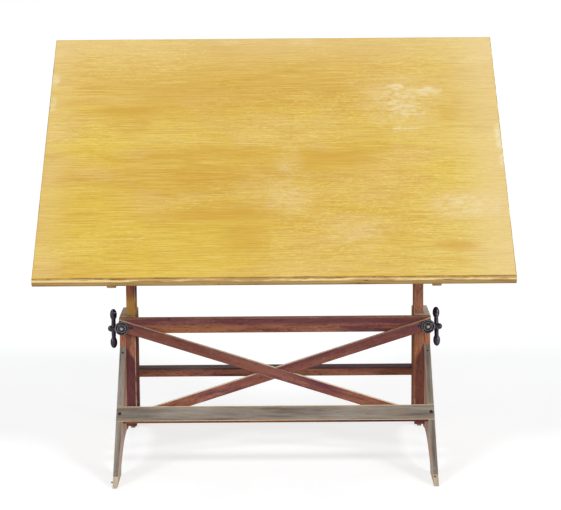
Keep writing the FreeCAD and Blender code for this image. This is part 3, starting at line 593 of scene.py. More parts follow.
# %% Where the oak board is worn
TILT = math.radians(38.5)
PIVOT = (0, -0.0145, 0.735)
BOARD_FRONT = -0.409
BOARD_TOP = 0.064
GLUE_LINE = 0.139
PALE_PATCHES = (
    (0.355, 0.225, 0.100, 0.120, 0.55),
    (0.335, 0.300, 0.050, 0.022, 0.75),
    (0.352, 0.137, 0.110, 0.010, 0.95),
    (0.425, 0.285, 0.075, 0.030, 0.60),
    (0.604, 0.105, 0.024, 0.075, 1.00),
    (0.606, 0.130, 0.032, 0.045, 1.00),
    (0.606, 0.070, 0.026, 0.040, 1.00),
    (0.603, 0.010, 0.020, 0.045, 0.80),
    (-0.600, 0.335, 0.026, 0.060, 0.70),
    (-0.602, 0.242, 0.024, 0.060, 0.60),
)
HAZY_PATCHES = (
    (0.350, 0.235, 0.150, 0.150, 0.80),
    (0.004, -0.098, 0.140, 0.130, 0.50),
    (0.505, -0.150, 0.140, 0.070, 1.00),
    (0.223, -0.245, 0.120, 0.090, 0.50),
    (-0.134, 0.488, 0.090, 0.018, 0.75),
    (0.086, 0.486, 0.070, 0.016, 0.65),
    (0.040, 0.010, 0.050, 0.080, 0.40),
    (0.524, 0.413, 0.140, 0.030, 0.55),
)
ORANGE_PATCHES = (
    (-0.200, 0.250, 0.320, 0.150, 0.35),
    (-0.400, 0.212, 0.130, 0.024, 0.75),
    (-0.165, -0.182, 0.260, 0.030, 0.65),
    (-0.073, -0.277, 0.090, 0.070, 0.50),
    (0.464, -0.293, 0.080, 0.024, 0.60),
    (0.150, 0.020, 0.150, 0.050, 0.45),
)
YELLOW_PATCHES = (
    (-0.480, -0.200, 0.200, 0.180, 0.60),
    (-0.270, -0.290, 0.440, 0.190, 0.50),
    (-0.480, 0.060, 0.160, 0.080, 0.55),
    (0.500, -0.030, 0.130, 0.130, 0.55),
)
BLEACHED_EDGES = (  # axis, where it starts, where it is full, strength
    ("X", 0.44, 0.60, 0.50),
    ("X", -0.50, -0.61, 0.25),
    ("Y", 0.36, 0.50, 0.30),
)
PATCH_DEPTH = 0.05
PATCH_CORE = 0.25


def board_frame(name):
    finish = Finish(name)
    finish.fill(finish.mapping, {"Rotation": (TILT, 0, 0), "Location": PIVOT})
    return finish


def patches(finish, places):
    for x, y, wide, deep, strength in places:
        off = finish.vector("SUBTRACT", finish.place, (x, y, BOARD_TOP))["Vector"]
        part = finish.vector("DIVIDE", off, (wide, deep, PATCH_DEPTH))["Vector"]
        distance = finish.vector("LENGTH", part)["Value"]
        yield finish.band(distance, 1.0, PATCH_CORE), strength


print("pale patches", len(PALE_PATCHES), "hazy", len(HAZY_PATCHES))

# %% [markdown]
# ## The oak finish
# The top is built up as it grew and aged. First come slow bands, fades and blotches of
# tone, and a painted light that makes the right side paler, then the grain: ring lines,
# short soft streaks, ripples where it catches the light, and pores. Wear comes last:
# bleached edges, the listed patches, broken up by scuffs, and one faint glue line. The
# edges are grimy, and chipped along the right hand side.

# %% The oak finish
OAK_GOLD = (0.680, 0.430, 0.070)
OAK_ORANGE = (0.610, 0.350, 0.050)
OAK_YELLOW = (0.745, 0.530, 0.095)
OAK_LEMON = (0.765, 0.570, 0.075)
OAK_STREAK = (0.560, 0.325, 0.050)
OAK_PALE = (0.790, 0.600, 0.180)
OAK_FADED = (0.780, 0.555, 0.185)
OAK_PINK = (0.735, 0.490, 0.165)
OAK_SCUFF = (0.870, 0.760, 0.470)
OAK_RIPPLE = (0.840, 0.660, 0.190)
OAK_HAZE = (0.830, 0.655, 0.340)
EDGE_GRIME = (0.190, 0.110, 0.045)
ORANGE_MIDDLE = 0.08
CHIP_DEPTH = 0.003


def oak_tone(finish, axes):
    bands = finish.noise((0.9, 9, 9), detail=3, roughness=0.55, wander=0.2)
    finish.base(bands, [
        (0.32, OAK_ORANGE), (0.46, OAK_GOLD), (0.60, OAK_YELLOW), (0.78, OAK_PALE),
    ])
    finish.lay(OAK_FADED, axes["Y"], 0.10, 0.48, 0.7)
    # Painted light: the right side of the top is painted paler.
    finish.lay(OAK_PALE, axes["X"], 0.24, 0.50, 0.55)
    from_middle = finish.away(axes["X"], ORANGE_MIDDLE)
    finish.lay(OAK_ORANGE, from_middle, 0.42, 0.16, 0.30)
    blotches = finish.noise((5, 10, 10), detail=3, roughness=0.5, wander=0.6)
    finish.lay(OAK_PINK, blotches, 0.50, 0.66, 0.6)
    finish.lay(OAK_ORANGE, blotches, 0.46, 0.32, 0.45)
    for spot, strength in patches(finish, YELLOW_PATCHES):
        finish.cover(finish.share(spot, strength), OAK_LEMON)
    return blotches


def ring_lines(finish):
    stretched = finish.vector("MULTIPLY", finish.place, (0.10, 1, 1))["Vector"]
    rings = finish.add("ShaderNodeTexWave", {
        "Vector": stretched, "Scale": 30, "Distortion": 9, "Detail": 3, "Detail Scale": 0.5,
    }, wave_type="BANDS", bands_direction="Y")
    return rings.outputs["Fac"]


def oak_grain(finish):
    finish.lay(OAK_STREAK, ring_lines(finish), 0.75, 1.0, 0.2)
    streaks = finish.noise((9, 420, 420), roughness=0.6, wander=0.4)
    finish.lay(OAK_STREAK, streaks, 0.50, 0.35, 0.80)
    finish.lay(OAK_PALE, streaks, 0.52, 0.68, 0.90)
    ripple = finish.noise((55, 400, 400), detail=2, roughness=0.55, wander=1.0)
    where = finish.noise((3, 6, 6), detail=2, roughness=0.55)
    ripple = finish.share(finish.band(ripple, 0.52, 0.66), finish.band(where, 0.40, 0.60))
    ripple = finish.share(ripple, 0.75)
    finish.cover(ripple, OAK_RIPPLE)
    pores = finish.noise((60, 1100, 1100), detail=3, roughness=0.6)
    finish.lay(OAK_STREAK, pores, 0.47, 0.32, 0.75)
    return streaks


def oak_wear(finish, axes, blotches, scuffs):
    for axis, start, full, strength in BLEACHED_EDGES:
        finish.lay(OAK_HAZE, axes[axis], start, full, strength)
    for spot, strength in patches(finish, ORANGE_PATCHES):
        finish.cover(finish.share(spot, strength), OAK_ORANGE)
    for spot, strength in patches(finish, HAZY_PATCHES):
        hazy = finish.share(spot, finish.band(scuffs, 0.30, 0.70))
        hazy = finish.share(hazy, finish.band(blotches, 0.25, 0.60))
        finish.cover(finish.share(hazy, strength), OAK_HAZE)
    for spot, strength in patches(finish, PALE_PATCHES):
        torn = finish.maths("ADD", finish.share(spot, 0.5), scuffs)
        finish.lay(OAK_SCUFF, torn, 0.76, 1.22, strength)
    off_line = finish.away(axes["Y"], GLUE_LINE)
    finish.lay(OAK_STREAK, off_line, 0.0014, 0.0004, 0.5)


def oak_top():
    finish = board_frame("oak_top_worn")
    axes = finish.axes()
    blotches = oak_tone(finish, axes)
    streaks = oak_grain(finish)
    scuffs = finish.noise((45, 85, 85), detail=7, roughness=0.72)
    oak_wear(finish, axes, blotches, scuffs)
    finish.bump(streaks, 0.15, 0.0005)
    shine = finish.ramp(scuffs, [(0.3, 0.44), (0.7, 0.60)])
    return finish.surface(shine, gloss=0.2)


def oak_edge():
    finish = board_frame("oak_edge_worn")
    grime = finish.noise((9, 9, 190), detail=5)
    finish.base(grime, [(0.32, EDGE_GRIME), (0.52, OAK_STREAK), (0.74, OAK_GOLD)])
    axes = finish.axes()
    chips = finish.band(finish.noise((60, 60, 60), roughness=0.7), 0.50, 0.62)
    chips = finish.share(chips, finish.band(axes["X"], 0.55, 0.60))
    near_top = finish.band(axes["Z"], BOARD_TOP - CHIP_DEPTH, BOARD_TOP)
    chips = finish.share(chips, near_top)
    finish.bump(grime, 0.4, 0.0006)
    finish.cover(chips, OAK_SCUFF)
    return finish.surface(0.7, gloss=0.1)


board_finishes = [oak_top(), oak_edge()]
print("oak top nodes", len(board_finishes[0].node_tree.nodes))

# %% [markdown]
# ## The board and its battens
# Nobody finished the underside. It is plain tan wood with brown streaks, and the two
# battens under it are the same. The board's three finishes are picked by how far a
# face looks up or down in the tilted frame.

# %% The board and its battens
RAW_DARK = (0.260, 0.150, 0.062)
RAW_MIDDLE = (0.420, 0.270, 0.120)
RAW_LIGHT = (0.540, 0.375, 0.190)
ACROSS = (1, 0, 0)
BOARD_UP = Vector((0, -math.sin(TILT), math.cos(TILT)))
BOARD_BACK = Vector((0, math.cos(TILT), math.sin(TILT)))
TOP_SLOT, UNDER_SLOT, EDGE_SLOT = range(3)
OAK_EASE = 0.0018
BATTEN_EASE = 0.0015


def raw_wood(name, along, centre):
    finish = Finish(name, along, centre)
    tone = finish.noise((3, 40, 40), detail=5)
    finish.base(tone, [(0.28, RAW_DARK), (0.48, RAW_MIDDLE), (0.72, RAW_LIGHT)])
    streaks = finish.noise((12, 330, 330))
    finish.lay(RAW_DARK, streaks, 0.48, 0.32, 0.7)
    finish.bump(streaks, 0.4, 0.0007)
    return finish.surface(0.75, gloss=0.12)


def pick_board(normal, eased):
    if normal.dot(BOARD_UP) > 0.99:
        return TOP_SLOT
    return UNDER_SLOT if normal.dot(BOARD_UP) < -0.9 else EDGE_SLOT


def pick_body(normal, eased):
    return BODY_SLOT


under_wood = raw_wood("board_under_raw", ACROSS, (0.4, 0, 0))
board_finishes.insert(UNDER_SLOT, under_wood)
eased_board("drawing_board", board_finishes, OAK_EASE, pick_board)
for side, shift in (("left", 0.2), ("right", 0.7)):
    batten_wood = raw_wood(f"batten_{side}_raw", BOARD_BACK, (shift, 0, 0))
    eased_board("batten_" + side, [batten_wood], BATTEN_EASE, pick_body)

# %% [markdown]
# ## Front edge strip
# A narrow strip is glued along the front edge. Its joint is dark with dirt, its
# upper edge has splintered, and pale wood shows in the breaks. A bump alone would
# leave its outline straight, so a copy of the CAD strip is cut into short lengths,
# and its upper corners are pressed in by noise that runs along it.

# %% Front edge strip
STRIP_DARK = (0.140, 0.072, 0.030)
STRIP_BROWN = (0.450, 0.270, 0.095)
STRIP_TAN = (0.590, 0.390, 0.150)
STRIP_PALE = (0.820, 0.640, 0.280)
STRIP_CUTS = 420
STRIP_DEPTH = 0.0105
STRIP_RIM = 0.002
SPLINTER = 0.0030
RAGGED_REACH = 0.018


def strip_finish():
    finish = board_frame("chipped_strip")
    axes = finish.axes()
    grain = finish.noise((7, 260, 260), detail=5)
    spots = finish.noise((16, 90, 90), roughness=0.6)
    finish.base(grain, [(0.30, STRIP_DARK), (0.44, STRIP_BROWN), (0.66, STRIP_TAN)])
    finish.lay(STRIP_DARK, spots, 0.40, 0.28)
    low, lowest = BOARD_TOP - 0.013, BOARD_TOP - 0.019
    finish.lay(STRIP_DARK, axes["Z"], low, lowest, 0.6)
    upper = finish.band(axes["Z"], BOARD_TOP - 0.006, BOARD_TOP - 0.003)
    ragged = finish.noise((20, 140, 140), detail=6, roughness=0.7)
    shift = finish.share(finish.maths("SUBTRACT", ragged, 0.5), RAGGED_REACH)
    across = finish.maths("ADD", axes["Y"], shift)
    breaks = finish.noise((5, 60, 60), roughness=0.6)
    pale = finish.share(upper, finish.band(breaks, 0.47, 0.55))
    arris = finish.band(across, BOARD_FRONT + 0.0055, BOARD_FRONT + 0.0025)
    finish.cover(finish.share(pale, arris), STRIP_PALE)
    joint = finish.band(across, BOARD_FRONT + 0.007, BOARD_FRONT + 0.0100)
    joint = finish.share(joint, finish.band(breaks, 0.58, 0.44))
    joint = finish.share(finish.share(upper, joint), 0.85)
    finish.cover(joint, STRIP_DARK)
    finish.bump(ragged, 0.5, 0.0012)
    return finish.surface(0.7, gloss=0.05)


def splintered_strip(node):
    shape = merged(node)
    ease(shape, BOARD_EASE)
    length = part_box(node)[1].x * 2
    long_edges = [edge for edge in shape.edges if edge.calc_length() > 0.9 * length]
    bmesh.ops.subdivide_edges(shape, edges=long_edges, cuts=STRIP_CUTS, use_grid_fill=True)
    pressed = 0
    for vert in shape.verts:
        place = vert.co - Vector(PIVOT)
        depth, rise = place.dot(BOARD_BACK), place.dot(BOARD_UP)
        if rise < BOARD_TOP - STRIP_RIM or abs(place.x) > length / 2 - STRIP_RIM:
            continue
        row = round((depth - BOARD_FRONT) / STRIP_DEPTH)
        run = noise.noise(Vector((place.x * 9, 7 * row, 0)))
        fine = noise.noise(Vector((place.x * 70, 5 * row, 3)))
        bite = max(0.0, run + 0.7 * fine - 0.05)
        vert.co -= BOARD_UP * min(SPLINTER, SPLINTER * bite)
        pressed += bite > 0
    shape.normal_update()
    print("strip points pressed in", pressed)
    stand_in(node, "_splintered", shape, [strip_finish()])


splintered_strip("front_edge_strip")

# %% [markdown]
# ## Rails of the stand
# Rails have their grain along their length. Sleeves and knees rubbed the upper rail's
# top edge down to pale wood, and its upper half is painted dark plum as the board's
# shade. The back rail's top is grimy, with a wide worn edge. One function gives a
# board its three finishes, and a zone of painted shade is written as the height where
# it starts, the height where it is full, and its lean.

# %% Rails of the stand
UP = (0, 0, 1)
GUIDE_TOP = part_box("front_guide_left")[1].z
# The board's shade, painted on the upper rail's upper half.
RAIL_SHADE_ZONE = (GUIDE_TOP - 0.028, GUIDE_TOP - 0.014, 0.0)
RAIL_WORN = 0.003
BACK_WORN = 0.0042
TOP_FRONT = Vector((0, -1, 1)).normalized()


def pick_plain(normal, eased):
    return WORN_SLOT if eased and normal.z > 0.2 else BODY_SLOT


def pick_third_on_top(normal, eased):
    return THIRD_SLOT if normal.z > 0.3 else BODY_SLOT


def stand_board(node, along, centre, light, pick=pick_plain, wear=0.0,
                gold=None, worn=(), dust_and_light=0.0, painted_shade=None, pale=EDGE_PALE):
    finishes = [
        stained_wood(node + "_stain", along, centre, light, gold, painted_shade),
        worn_edge(node + "_edge", along, centre, light, wear, pale),
        dust_and_light_top(node + "_dust", along, centre, dust_and_light),
    ]
    eased_board(node, finishes, BOARD_EASE, pick, worn)


stand_board("upper_front_rail", ACROSS, (0.6, 0, 0), 0.14, pick_third_on_top, -0.08,
            worn=[(TOP_FRONT, RAIL_WORN)], dust_and_light=-0.12, painted_shade=(RAIL_SHADE_ZONE, 0.7))
back_grime = weathered_wood("back_rail_grime", ACROSS, (0.7, 0, 0), -0.14, 0.35)
back_stain = stained_wood("back_rail_stain", ACROSS, (0.7, 0, 0), 0.12)
eased_board("back_rail", [back_stain, back_grime, back_grime], BOARD_EASE, pick_third_on_top,
            [(TOP_FRONT, BACK_WORN)])

# %% [markdown]
# ## Posts, guides and side boards
# Their grain runs up and down. Each side has its own tones, and those on the right are
# lighter, with the palest tops. Just above its guide the left post has lost its stain by
# sliding. The front guides carry a painted shadow of the leg: dark plum low down, below a
# line that rises outwards as the leg beside them does. Their inner edges are worn pale.

# %% Posts, guides and side boards
SIDES = {"left": -1, "right": 1}
SIDE_SHIFT = 0.37
# The leg's shadow painted on each front guide: where it starts, where it is full, its lean.
GUIDE_SHADE_ZONE = (-0.195, -0.212, 1.25)
GUIDE_SHADE_SHARE = {"left": 0.7, "right": 0.4}
GUIDE_LIGHT = {"left": 0.14, "right": 0.24}
GUIDE_WEAR = {"left": 0.08, "right": -0.02}
GUIDE_WORN = 0.0013
POST_LIGHT = {"left": -0.10, "right": 0.30}
POST_SLID = {"left": (GUIDE_TOP - 0.012, GUIDE_TOP + 0.060), "right": None}
POST_WORN = 0.0012
# The tops on the right are painted palest, as painted light.
TOP_DUST_AND_LIGHT = {"left": -0.02, "right": 0.16}

for side, sign in SIDES.items():
    shift = SIDE_SHIFT * sign
    inner_front = Vector((-sign, -1, 0)).normalized()
    stand_board("post_" + side, UP, (shift, 0.2, 0), POST_LIGHT[side], wear=0.05,
                gold=POST_SLID[side], worn=[(inner_front, POST_WORN)])
    stand_board("front_guide_" + side, UP, (shift, 0.4, 0), GUIDE_LIGHT[side],
                pick_third_on_top, GUIDE_WEAR[side], worn=[(inner_front, GUIDE_WORN)],
                dust_and_light=TOP_DUST_AND_LIGHT[side], painted_shade=(GUIDE_SHADE_ZONE, GUIDE_SHADE_SHARE[side]))
    stand_board("rear_guide_" + side, UP, (shift, 0.5, 0), 0.10)
    stand_board("upright_" + side, UP, (shift, 0.7, 0), 0.30, pick_third_on_top,
                dust_and_light=TOP_DUST_AND_LIGHT[side])

# %% [markdown]
# ## Crossed braces
# The braces are thin boards, crossed on the front. Their top edges are bare, and look
# like a pale line from the front. A wider bevel there would make the line too thick,
# so only the faces that look well upwards get the bare wood. Above the crossing the
# braces are painted a darker plum, as painted shade.

# %% Crossed braces
EDGE_BARE = (0.900, 0.760, 0.530)
BRACE_SLOPE = math.atan2(0.257, 0.8035)
# Painted shade on the braces above their crossing.
BRACE_SHADE_ZONE = (0.14, 0.24, 0.0)


def pick_pale_top(normal, eased):
    return WORN_SLOT if normal.z > 0.6 else BODY_SLOT


for name, sign in (("a", 1), ("b", -1)):
    along = (math.cos(BRACE_SLOPE), 0, -sign * math.sin(BRACE_SLOPE))
    stand_board("cross_brace_" + name, along, (0.2 * sign, 0.4, 0), 0.06, pick_pale_top,
                0.25, painted_shade=(BRACE_SHADE_ZONE, 0.45), pale=EDGE_BARE)

# %% [markdown]
# ## The legs
# Shoes and mops reached the legs. Their sloping edges are quite grey, and their sides
# keep some stain near the knee and go paler towards the foot, by height alone. Near the
# floor the inner sides are worn thinner: the leg is cut level where the wear starts, so
# its side stays flat above, and the points below move outwards, more towards the floor.

# %% The legs
LEG_FADED = (0.590, 0.465, 0.405)
LEG_SLOPE = math.atan2(0.303, 0.325)
FADE_START, FADE_FULL = 0.26, 0.02
WORN_HEIGHT = 0.12
WORN_INWARD = 0.0045
CUT_REACH = 1e-7
LEG_ENDS = {"front": -1, "back": 1}


def pick_leg(normal, eased):
    if abs(normal.x) > 0.9:
        return BODY_SLOT
    return WORN_SLOT if eased else THIRD_SLOT


def leg_side(name, along, centre):
    finish = Finish(name, along, centre)
    streaks = stain(finish, 0.2)
    low_down = finish.band(finish.height(), FADE_START, FADE_FULL)
    faded = finish.maths("ADD", low_down, finish.share(streaks, 0.4))
    finish.cover(finish.share(faded, 0.75), LEG_FADED)
    finish.bump(streaks, *STAIN_BUMP)
    return finish.surface(0.7, gloss=0.0)


def worn_thin(shape):
    whole = shape.verts[:] + shape.edges[:] + shape.faces[:]
    bmesh.ops.bisect_plane(
        shape, geom=whole, dist=CUT_REACH, plane_co=(0, 0, WORN_HEIGHT), plane_no=UP
    )
    sides = [abs(vert.co.x) for vert in shape.verts]
    inner, outer = min(sides), max(sides)
    for vert in shape.verts:
        share = (outer - abs(vert.co.x)) / (outer - inner)
        low_down = max(0.0, 1 - vert.co.z / WORN_HEIGHT)
        vert.co.x += math.copysign(WORN_INWARD * share * low_down, vert.co.x)


for side, sign in SIDES.items():
    for end, way in LEG_ENDS.items():
        along = (0, way * math.cos(LEG_SLOPE), -math.sin(LEG_SLOPE))
        centre = (SIDE_SHIFT * sign, 0.3 * way, 0)
        name = f"{end}_leg_{side}"
        leg_finishes = [
            leg_side(name + "_side", along, centre),
            weathered_wood(name + "_rubbed", along, centre, 0.16),
            weathered_wood(name + "_grey", along, centre, -0.03),
        ]
        eased_board(name, leg_finishes, BOARD_EASE, pick_leg, reshape=worn_thin)

# %% [markdown]
# ## The lower rail
# This rail lies in the slope of the legs and takes every foot that rests on it. Its
# front is bare and grey, its lower face keeps the red stain, and its front edges are
# rubbed to an ochre line, the upper one wider. The way a face looks picks its finish.

# %% The lower rail
RAIL_DOWN = Vector((0, -math.cos(LEG_SLOPE), -math.sin(LEG_SLOPE)))
RAIL_OUT = Vector((0, -math.sin(LEG_SLOPE), math.cos(LEG_SLOPE)))
RAIL_OCHRE = (0.760, 0.530, 0.260)
RAIL_PLACE = (0.5, 0, 0)
UPPER_WORN = 0.0040
LOWER_WORN = 0.0009


def pick_lower_rail(normal, eased):
    return THIRD_SLOT if normal.dot(RAIL_DOWN) > 0.7 else BODY_SLOT


def ochre_edge():
    finish = Finish("lower_rail_ochre", ACROSS, RAIL_PLACE)
    rub = finish.noise((11, 60, 60), detail=5)
    finish.base(rub, [(0.28, GREY_OCHRE), (0.46, RAIL_OCHRE), (0.72, EDGE_PALE)])
    finish.bump(rub, 0.4, 0.0007)
    return finish.surface(0.75, gloss=0.05)


rail_finishes = [
    weathered_wood("lower_rail_grey", ACROSS, RAIL_PLACE, -0.02),
    ochre_edge(),
    stained_wood("lower_rail_stain", ACROSS, RAIL_PLACE, -0.12),
]
upper_edge = (RAIL_OUT - RAIL_DOWN).normalized()
lower_edge = (RAIL_OUT + RAIL_DOWN).normalized()
rail_wear = [(upper_edge, UPPER_WORN), (lower_edge, LOWER_WORN)]
eased_board("lower_front_rail", rail_finishes, BOARD_EASE, pick_lower_rail, rail_wear)

# %% [markdown]
# ## Bare feet
# The front feet stood where the floor was wetted and scrubbed, so their tips are
# bare, pale wood. A flat pale colour would look like paint, so noise along the leg
# gives dark cracks and a bump. The back ones are only grey. The dowels inside the
# legs are bare wood too, and keep their CAD mesh.

# %% Bare feet
BARE_DARK = (0.270, 0.195, 0.130)
BARE_MIDDLE = (0.500, 0.405, 0.295)
BARE_LIGHT = (0.630, 0.545, 0.430)
TIP_EASE = 0.001
DEPTHWAYS = (0, 1, 0)


def bare_wood(name, along, centre):
    finish = Finish(name, along, centre)
    tone = finish.noise((9, 110, 110), detail=5, roughness=0.68)
    finish.base(tone, [(0.30, BARE_DARK), (0.48, BARE_MIDDLE), (0.70, BARE_LIGHT)])
    finish.bump(tone, 0.5, 0.0008)
    return finish.surface(0.8, gloss=0.1)


back_way = (0, math.cos(LEG_SLOPE), -math.sin(LEG_SLOPE))
tip_woods = {
    "front": bare_wood("front_tip_bare", RAIL_DOWN, (0, -0.2, 0)),
    "back": weathered_wood("back_tip_grey", back_way, (0, 0.2, 0), -0.06),
}
for end, tip_wood in tip_woods.items():
    for side in SIDES:
        tip = f"{end}_foot_tip_{side}"
        eased_board(tip, [tip_wood], TIP_EASE, pick_body, reshape=worn_thin)
dowel_wood = bare_wood("dowel_bare", DEPTHWAYS, (0, 0, 0))
frame["nodes"]["leg_dowels"].data.materials[0] = dowel_wood

# %% [markdown]
# ## Iron and steel
# The wing nuts, rosettes and quadrants are cast iron, japanned black and still
# glossy where hands kept it so. The bolts, screws and washers are steel gone dark
# and brown. Metals take their look from roughness and small colour shifts, so both
# come from noise. Raised rings and the crowns of bolts are painted bright, partly as
# rubbed metal and partly as painted highlights: they are picked by how far they stand
# out to the front.

# %% Iron and steel
JAPAN_BLACK = (0.008, 0.006, 0.017)
JAPAN_WORN = (0.050, 0.038, 0.072)
RING_WEAR_AND_HIGHLIGHT = (0.300, 0.290, 0.290)
STEEL_DARK = (0.030, 0.024, 0.021)
STEEL_RUST = (0.075, 0.036, 0.020)
STEEL_LIGHT = (0.120, 0.110, 0.105)
BOLT_WEAR_AND_HIGHLIGHT = (0.360, 0.350, 0.350)


def japanned_iron(name, wear_and_highlight_from=None):
    finish = Finish(name)
    grit = finish.noise((420, 420, 420), roughness=0.6)
    wear = finish.noise((70, 70, 70))
    finish.base(wear, [(0.40, JAPAN_BLACK), (0.72, JAPAN_WORN)])
    if wear_and_highlight_from is not None:
        # Painted highlight and rubbed iron on the crests of the raised rings.
        raised = finish.band(finish.axes()["Y"], wear_and_highlight_from, wear_and_highlight_from - 0.0005)
        rubbed = finish.share(raised, finish.band(wear, 0.30, 0.48))
        finish.cover(rubbed, RING_WEAR_AND_HIGHLIGHT)
    finish.bump(grit, 0.12, 0.0004)
    shine = finish.ramp(wear, [(0.35, 0.15), (0.70, 0.23)])
    return finish.surface(shine, gloss=0.40)


def spotted_steel(name, fineness, bump, shine, gloss, crown=None):
    finish = Finish(name)
    spots = finish.noise((fineness,) * 3, detail=5)
    finish.base(spots, [(0.36, STEEL_DARK), (0.54, STEEL_RUST), (0.70, STEEL_LIGHT)])
    if crown is not None:
        front = finish.axes()["Y"]
        # Painted highlight and rubbed steel at the crown of each bolt.
        finish.lay(BOLT_WEAR_AND_HIGHLIGHT, front, crown + 0.0003, crown + 0.0001)
    finish.bump(spots, bump, 0.0003)
    dull, bright = shine
    shine = finish.ramp(spots, [(0.3, dull), (0.7, bright)])
    return finish.surface(shine, metal=0.6, gloss=gloss)


iron = japanned_iron("japanned_iron")
steel = spotted_steel("brown_steel", 260, 0.3, (0.6, 0.42), 0.4)
print("metals", iron.name, steel.name)

# %% [markdown]
# ## Wing nuts
# A cast wing nut has no sharp seams: hub, arms and tear-drop ends flow into each
# other. Joining the CAD shapes leaves hard creases, so the copy is remeshed finely
# and smoothed, which rounds the creases as the sand mould did.

# %% Wing nuts
CAST_GRAIN = 0.0009
MELT_SHARE = 0.5
MELT_ROUNDS = 6


def cast_copy(node):
    piece = stand_in(node, "_cast", merged(node), [iron], smooth=True)
    skin = piece.modifiers.new("skin", "REMESH")
    skin.mode = "VOXEL"
    skin.voxel_size = CAST_GRAIN
    skin.use_smooth_shade = True
    melt = piece.modifiers.new("melt", "SMOOTH")
    melt.factor = MELT_SHARE
    melt.iterations = MELT_ROUNDS


for kind in ("height", "tilt"):
    for side in SIDES:
        cast_copy(f"{kind}_wing_nut_{side}")
print("wing nuts cast, grain", CAST_GRAIN)

# %% [markdown]
# ## Rosettes and their bolts
# A round cast disc sits over each upper brace end, with raised rings round the bolt.
# Half a section is drawn as a few points and spun round its line, which is how such
# a disc or a domed bolt would be turned. The section is given as radius and rise in
# millimetres, and the rise goes along the given direction.

# %% Rosettes and their bolts
ROSETTE_RINGS = (
    (5.2, 0.0), (18.5, 0.0), (18.5, 2.6), (17.9, 4.2), (16.8, 5.4), (15.6, 4.6),
    (14.8, 3.0), (13.4, 2.6), (12.4, 3.4), (11.6, 4.8), (10.7, 5.6), (9.8, 4.8),
    (9.2, 3.6), (8.2, 3.6), (7.7, 4.6), (6.8, 6.0), (6.2, 4.6), (5.2, 4.6),
)
BOLT_DOME = (
    (0.0, -65.0), (3.9, -65.0), (3.9, 0.0), (7.0, 0.0), (7.0, 1.4), (6.5, 2.5),
    (5.2, 3.4), (3.2, 3.9), (0.0, 4.0),
)
DOME_RISE = 0.004
RING_RISE = 0.0048
TURN_STEPS = 64
MM_PER_METRE = 1000
OUT_FRONT = Vector((0, -1, 0))


def turned(shape, section, centre, direction):
    side = direction.orthogonal().normalized()
    ring = []
    for radius, rise in section:
        spot = centre + (side * radius + direction * rise) / MM_PER_METRE
        ring.append(shape.verts.new(spot))
    line = [shape.edges.new(pair) for pair in zip(ring, ring[1:])]
    if section[0][0] > 0:
        line.append(shape.edges.new((ring[-1], ring[0])))
    bmesh.ops.spin(
        shape, geom=ring + line, cent=centre, axis=direction,
        angle=math.tau, steps=TURN_STEPS, use_merge=True,
    )


def closed(shape):
    bmesh.ops.remove_doubles(shape, verts=shape.verts, dist=MERGE_REACH)
    bmesh.ops.recalc_face_normals(shape, faces=shape.faces)
    return shape


rosette_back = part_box("rosette_left")[1].y
ring_iron = japanned_iron("rosette_iron", wear_and_highlight_from=rosette_back - RING_RISE)
bolts = bmesh.new()
for side in SIDES:
    node = "rosette_" + side
    low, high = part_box(node)
    centre = Vector(((low.x + high.x) / 2, high.y, (low.z + high.z) / 2))
    disc = bmesh.new()
    turned(disc, ROSETTE_RINGS, centre, OUT_FRONT)
    stand_in(node, "_turned", closed(disc), [ring_iron], smooth=True)
    turned(bolts, BOLT_DOME, Vector((centre.x, low.y, centre.z)), OUT_FRONT)
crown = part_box("rosette_left")[0].y - DOME_RISE
domed = spotted_steel("rubbed_and_highlit_steel", 300, 0.25, (0.45, 0.25), 0.5, crown)
bolts_piece = stand_in("rosette_bolts", "_domed", closed(bolts), [domed], smooth=True)
print("bolt faces", len(bolts_piece.data.polygons))

# %% [markdown]
# ## A peg and a tack at the feet
# A peg sticks out of the left front tip, and a tack sits on the slope of the right
# one. Both are turned as the bolts were, with a shank that goes into the wood.

# %% A peg and a tack at the feet
PEG = (
    (0.0, -12.0), (1.5, -12.0), (1.5, 2.6), (2.4, 2.8), (2.4, 3.6), (1.6, 4.2), (0.0, 4.3),
)
TACK = (
    (0.0, -12.0), (1.2, -12.0), (1.2, 0.1), (2.7, 0.3), (2.7, 0.9), (1.8, 1.5), (0.0, 1.7),
)
PEG_DEPTH, PEG_RISE = -0.373, 0.011
TACK_RISE = 0.020
OUT_LEFT = Vector((-1, 0, 0))

left_tip, right_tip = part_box("front_foot_tip_left"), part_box("front_foot_tip_right")
peg_place = Vector((left_tip[0].x, PEG_DEPTH, PEG_RISE))
tack_across = (right_tip[0].x + right_tip[1].x) / 2
tack_depth = right_tip[0].y + TACK_RISE / math.tan(LEG_SLOPE)
tack_place = Vector((tack_across, tack_depth, TACK_RISE))
pegs = bmesh.new()
turned(pegs, PEG, peg_place, OUT_LEFT)
turned(pegs, TACK, tack_place, RAIL_OUT)
new_piece("foot_pegs", closed(pegs), [steel], "base", True)
print("peg at", tuple(peg_place), "tack at", tuple(tack_place))

# %% [markdown]
# ## Slotted screws
# The wood screws have plain slotted heads. A slot could be cut with a boolean, but on
# a copy of each screw it is simpler to cut the round head face by two planes and to
# push in the strip between them. The two screws beside the rosettes are blackened.

# %% Slotted screws
HEAD_AREA = 5.5e-5
HEAD_CORNERS = 12
SLOT_HALF_WIDTH = 0.0006
SLOT_DEPTH = 0.0012


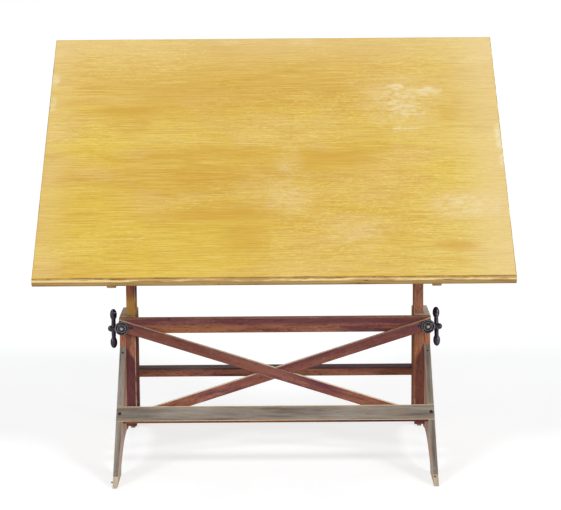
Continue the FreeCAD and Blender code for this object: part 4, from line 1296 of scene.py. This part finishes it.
def cut_slot(shape, head):
    out = head.normal.copy()
    middle = head.calc_center_median()
    across = (head.verts[0].co - middle).normalized()
    parts = [head]
    for sign in (-1, 1):
        edges = {edge for face in parts for edge in face.edges}
        verts = {vert for face in parts for vert in face.verts}
        made = bmesh.ops.bisect_plane(
            shape, geom=[*parts, *edges, *verts], dist=CUT_REACH,
            plane_co=middle + across * sign * SLOT_HALF_WIDTH, plane_no=across,
        )
        faces = [item for item in made["geom"] if isinstance(item, bmesh.types.BMFace)]
        parts = [face for face in faces if face.normal.dot(out) > 0.99]
    strip = [
        face for face in parts
        if abs((face.calc_center_median() - middle).dot(across)) < SLOT_HALF_WIDTH / 2
    ]
    pushed = bmesh.ops.extrude_face_region(shape, geom=strip)
    verts = [item for item in pushed["geom"] if isinstance(item, bmesh.types.BMVert)]
    bmesh.ops.translate(shape, verts=verts, vec=-out * SLOT_DEPTH)
    bmesh.ops.delete(shape, geom=strip, context="FACES_ONLY")


def is_head(face):
    return face.calc_area() > HEAD_AREA and len(face.verts) > HEAD_CORNERS


def slotted(node, metal):
    shape = merged(node)
    shape.normal_update()
    heads = [face for face in shape.faces if is_head(face)]
    for head in heads:
        cut_slot(shape, head)
    shape.normal_update()
    print(node, "slots", len(heads))
    stand_in(node, "_slotted", shape, [metal])


slotted("brace_screws", iron)
for node in ("lower_rail_screws", "guide_screws", "front_guide_screws", "back_rail_screws",
             "brace_end_screws", "batten_screws", "quadrant_screws"):
    slotted(node, steel)

# %% [markdown]
# ## Quadrants, bolts, nuts and washers
# The iron quadrants and the forged bolts, nuts, washers and plates get eased edges
# like the boards, only narrower. The nails keep their CAD mesh and take the finish.
# Those at the feet are rubbed over and as grey as the wood round them.

# %% Quadrants, bolts, nuts and washers
IRON_EASE = 0.0006
STEEL_EASE = 0.0004

for side in SIDES:
    eased_board("tilt_quadrant_" + side, [iron], IRON_EASE, pick_body)
for node in ("height_clamp_bolts", "pivot_bolts", "pivot_nuts", "tilt_clamp_bolts",
             "height_washers", "pivot_washers", "tilt_washers", "clamp_plates"):
    eased_board(node, [steel], STEEL_EASE, pick_body)
frame["nodes"]["leg_nails"].data.materials[0] = steel
grey_nail = weathered_wood("foot_nail_grey", DEPTHWAYS, (0, 0, 0), 0.02)
frame["nodes"]["foot_nails"].data.materials[0] = grey_nail

# %% [markdown] ## Sizes and finish Easing and wear only take wood away, so the
# dressed table has to stay within the CAD box.

# %% Sizes and finish
dressed_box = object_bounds()
sizes = {
    "cad": [list(corner) for corner in cad_box],
    "dressed": [list(corner) for corner in dressed_box],
}
print("cad box", sizes["cad"], "dressed box", sizes["dressed"])
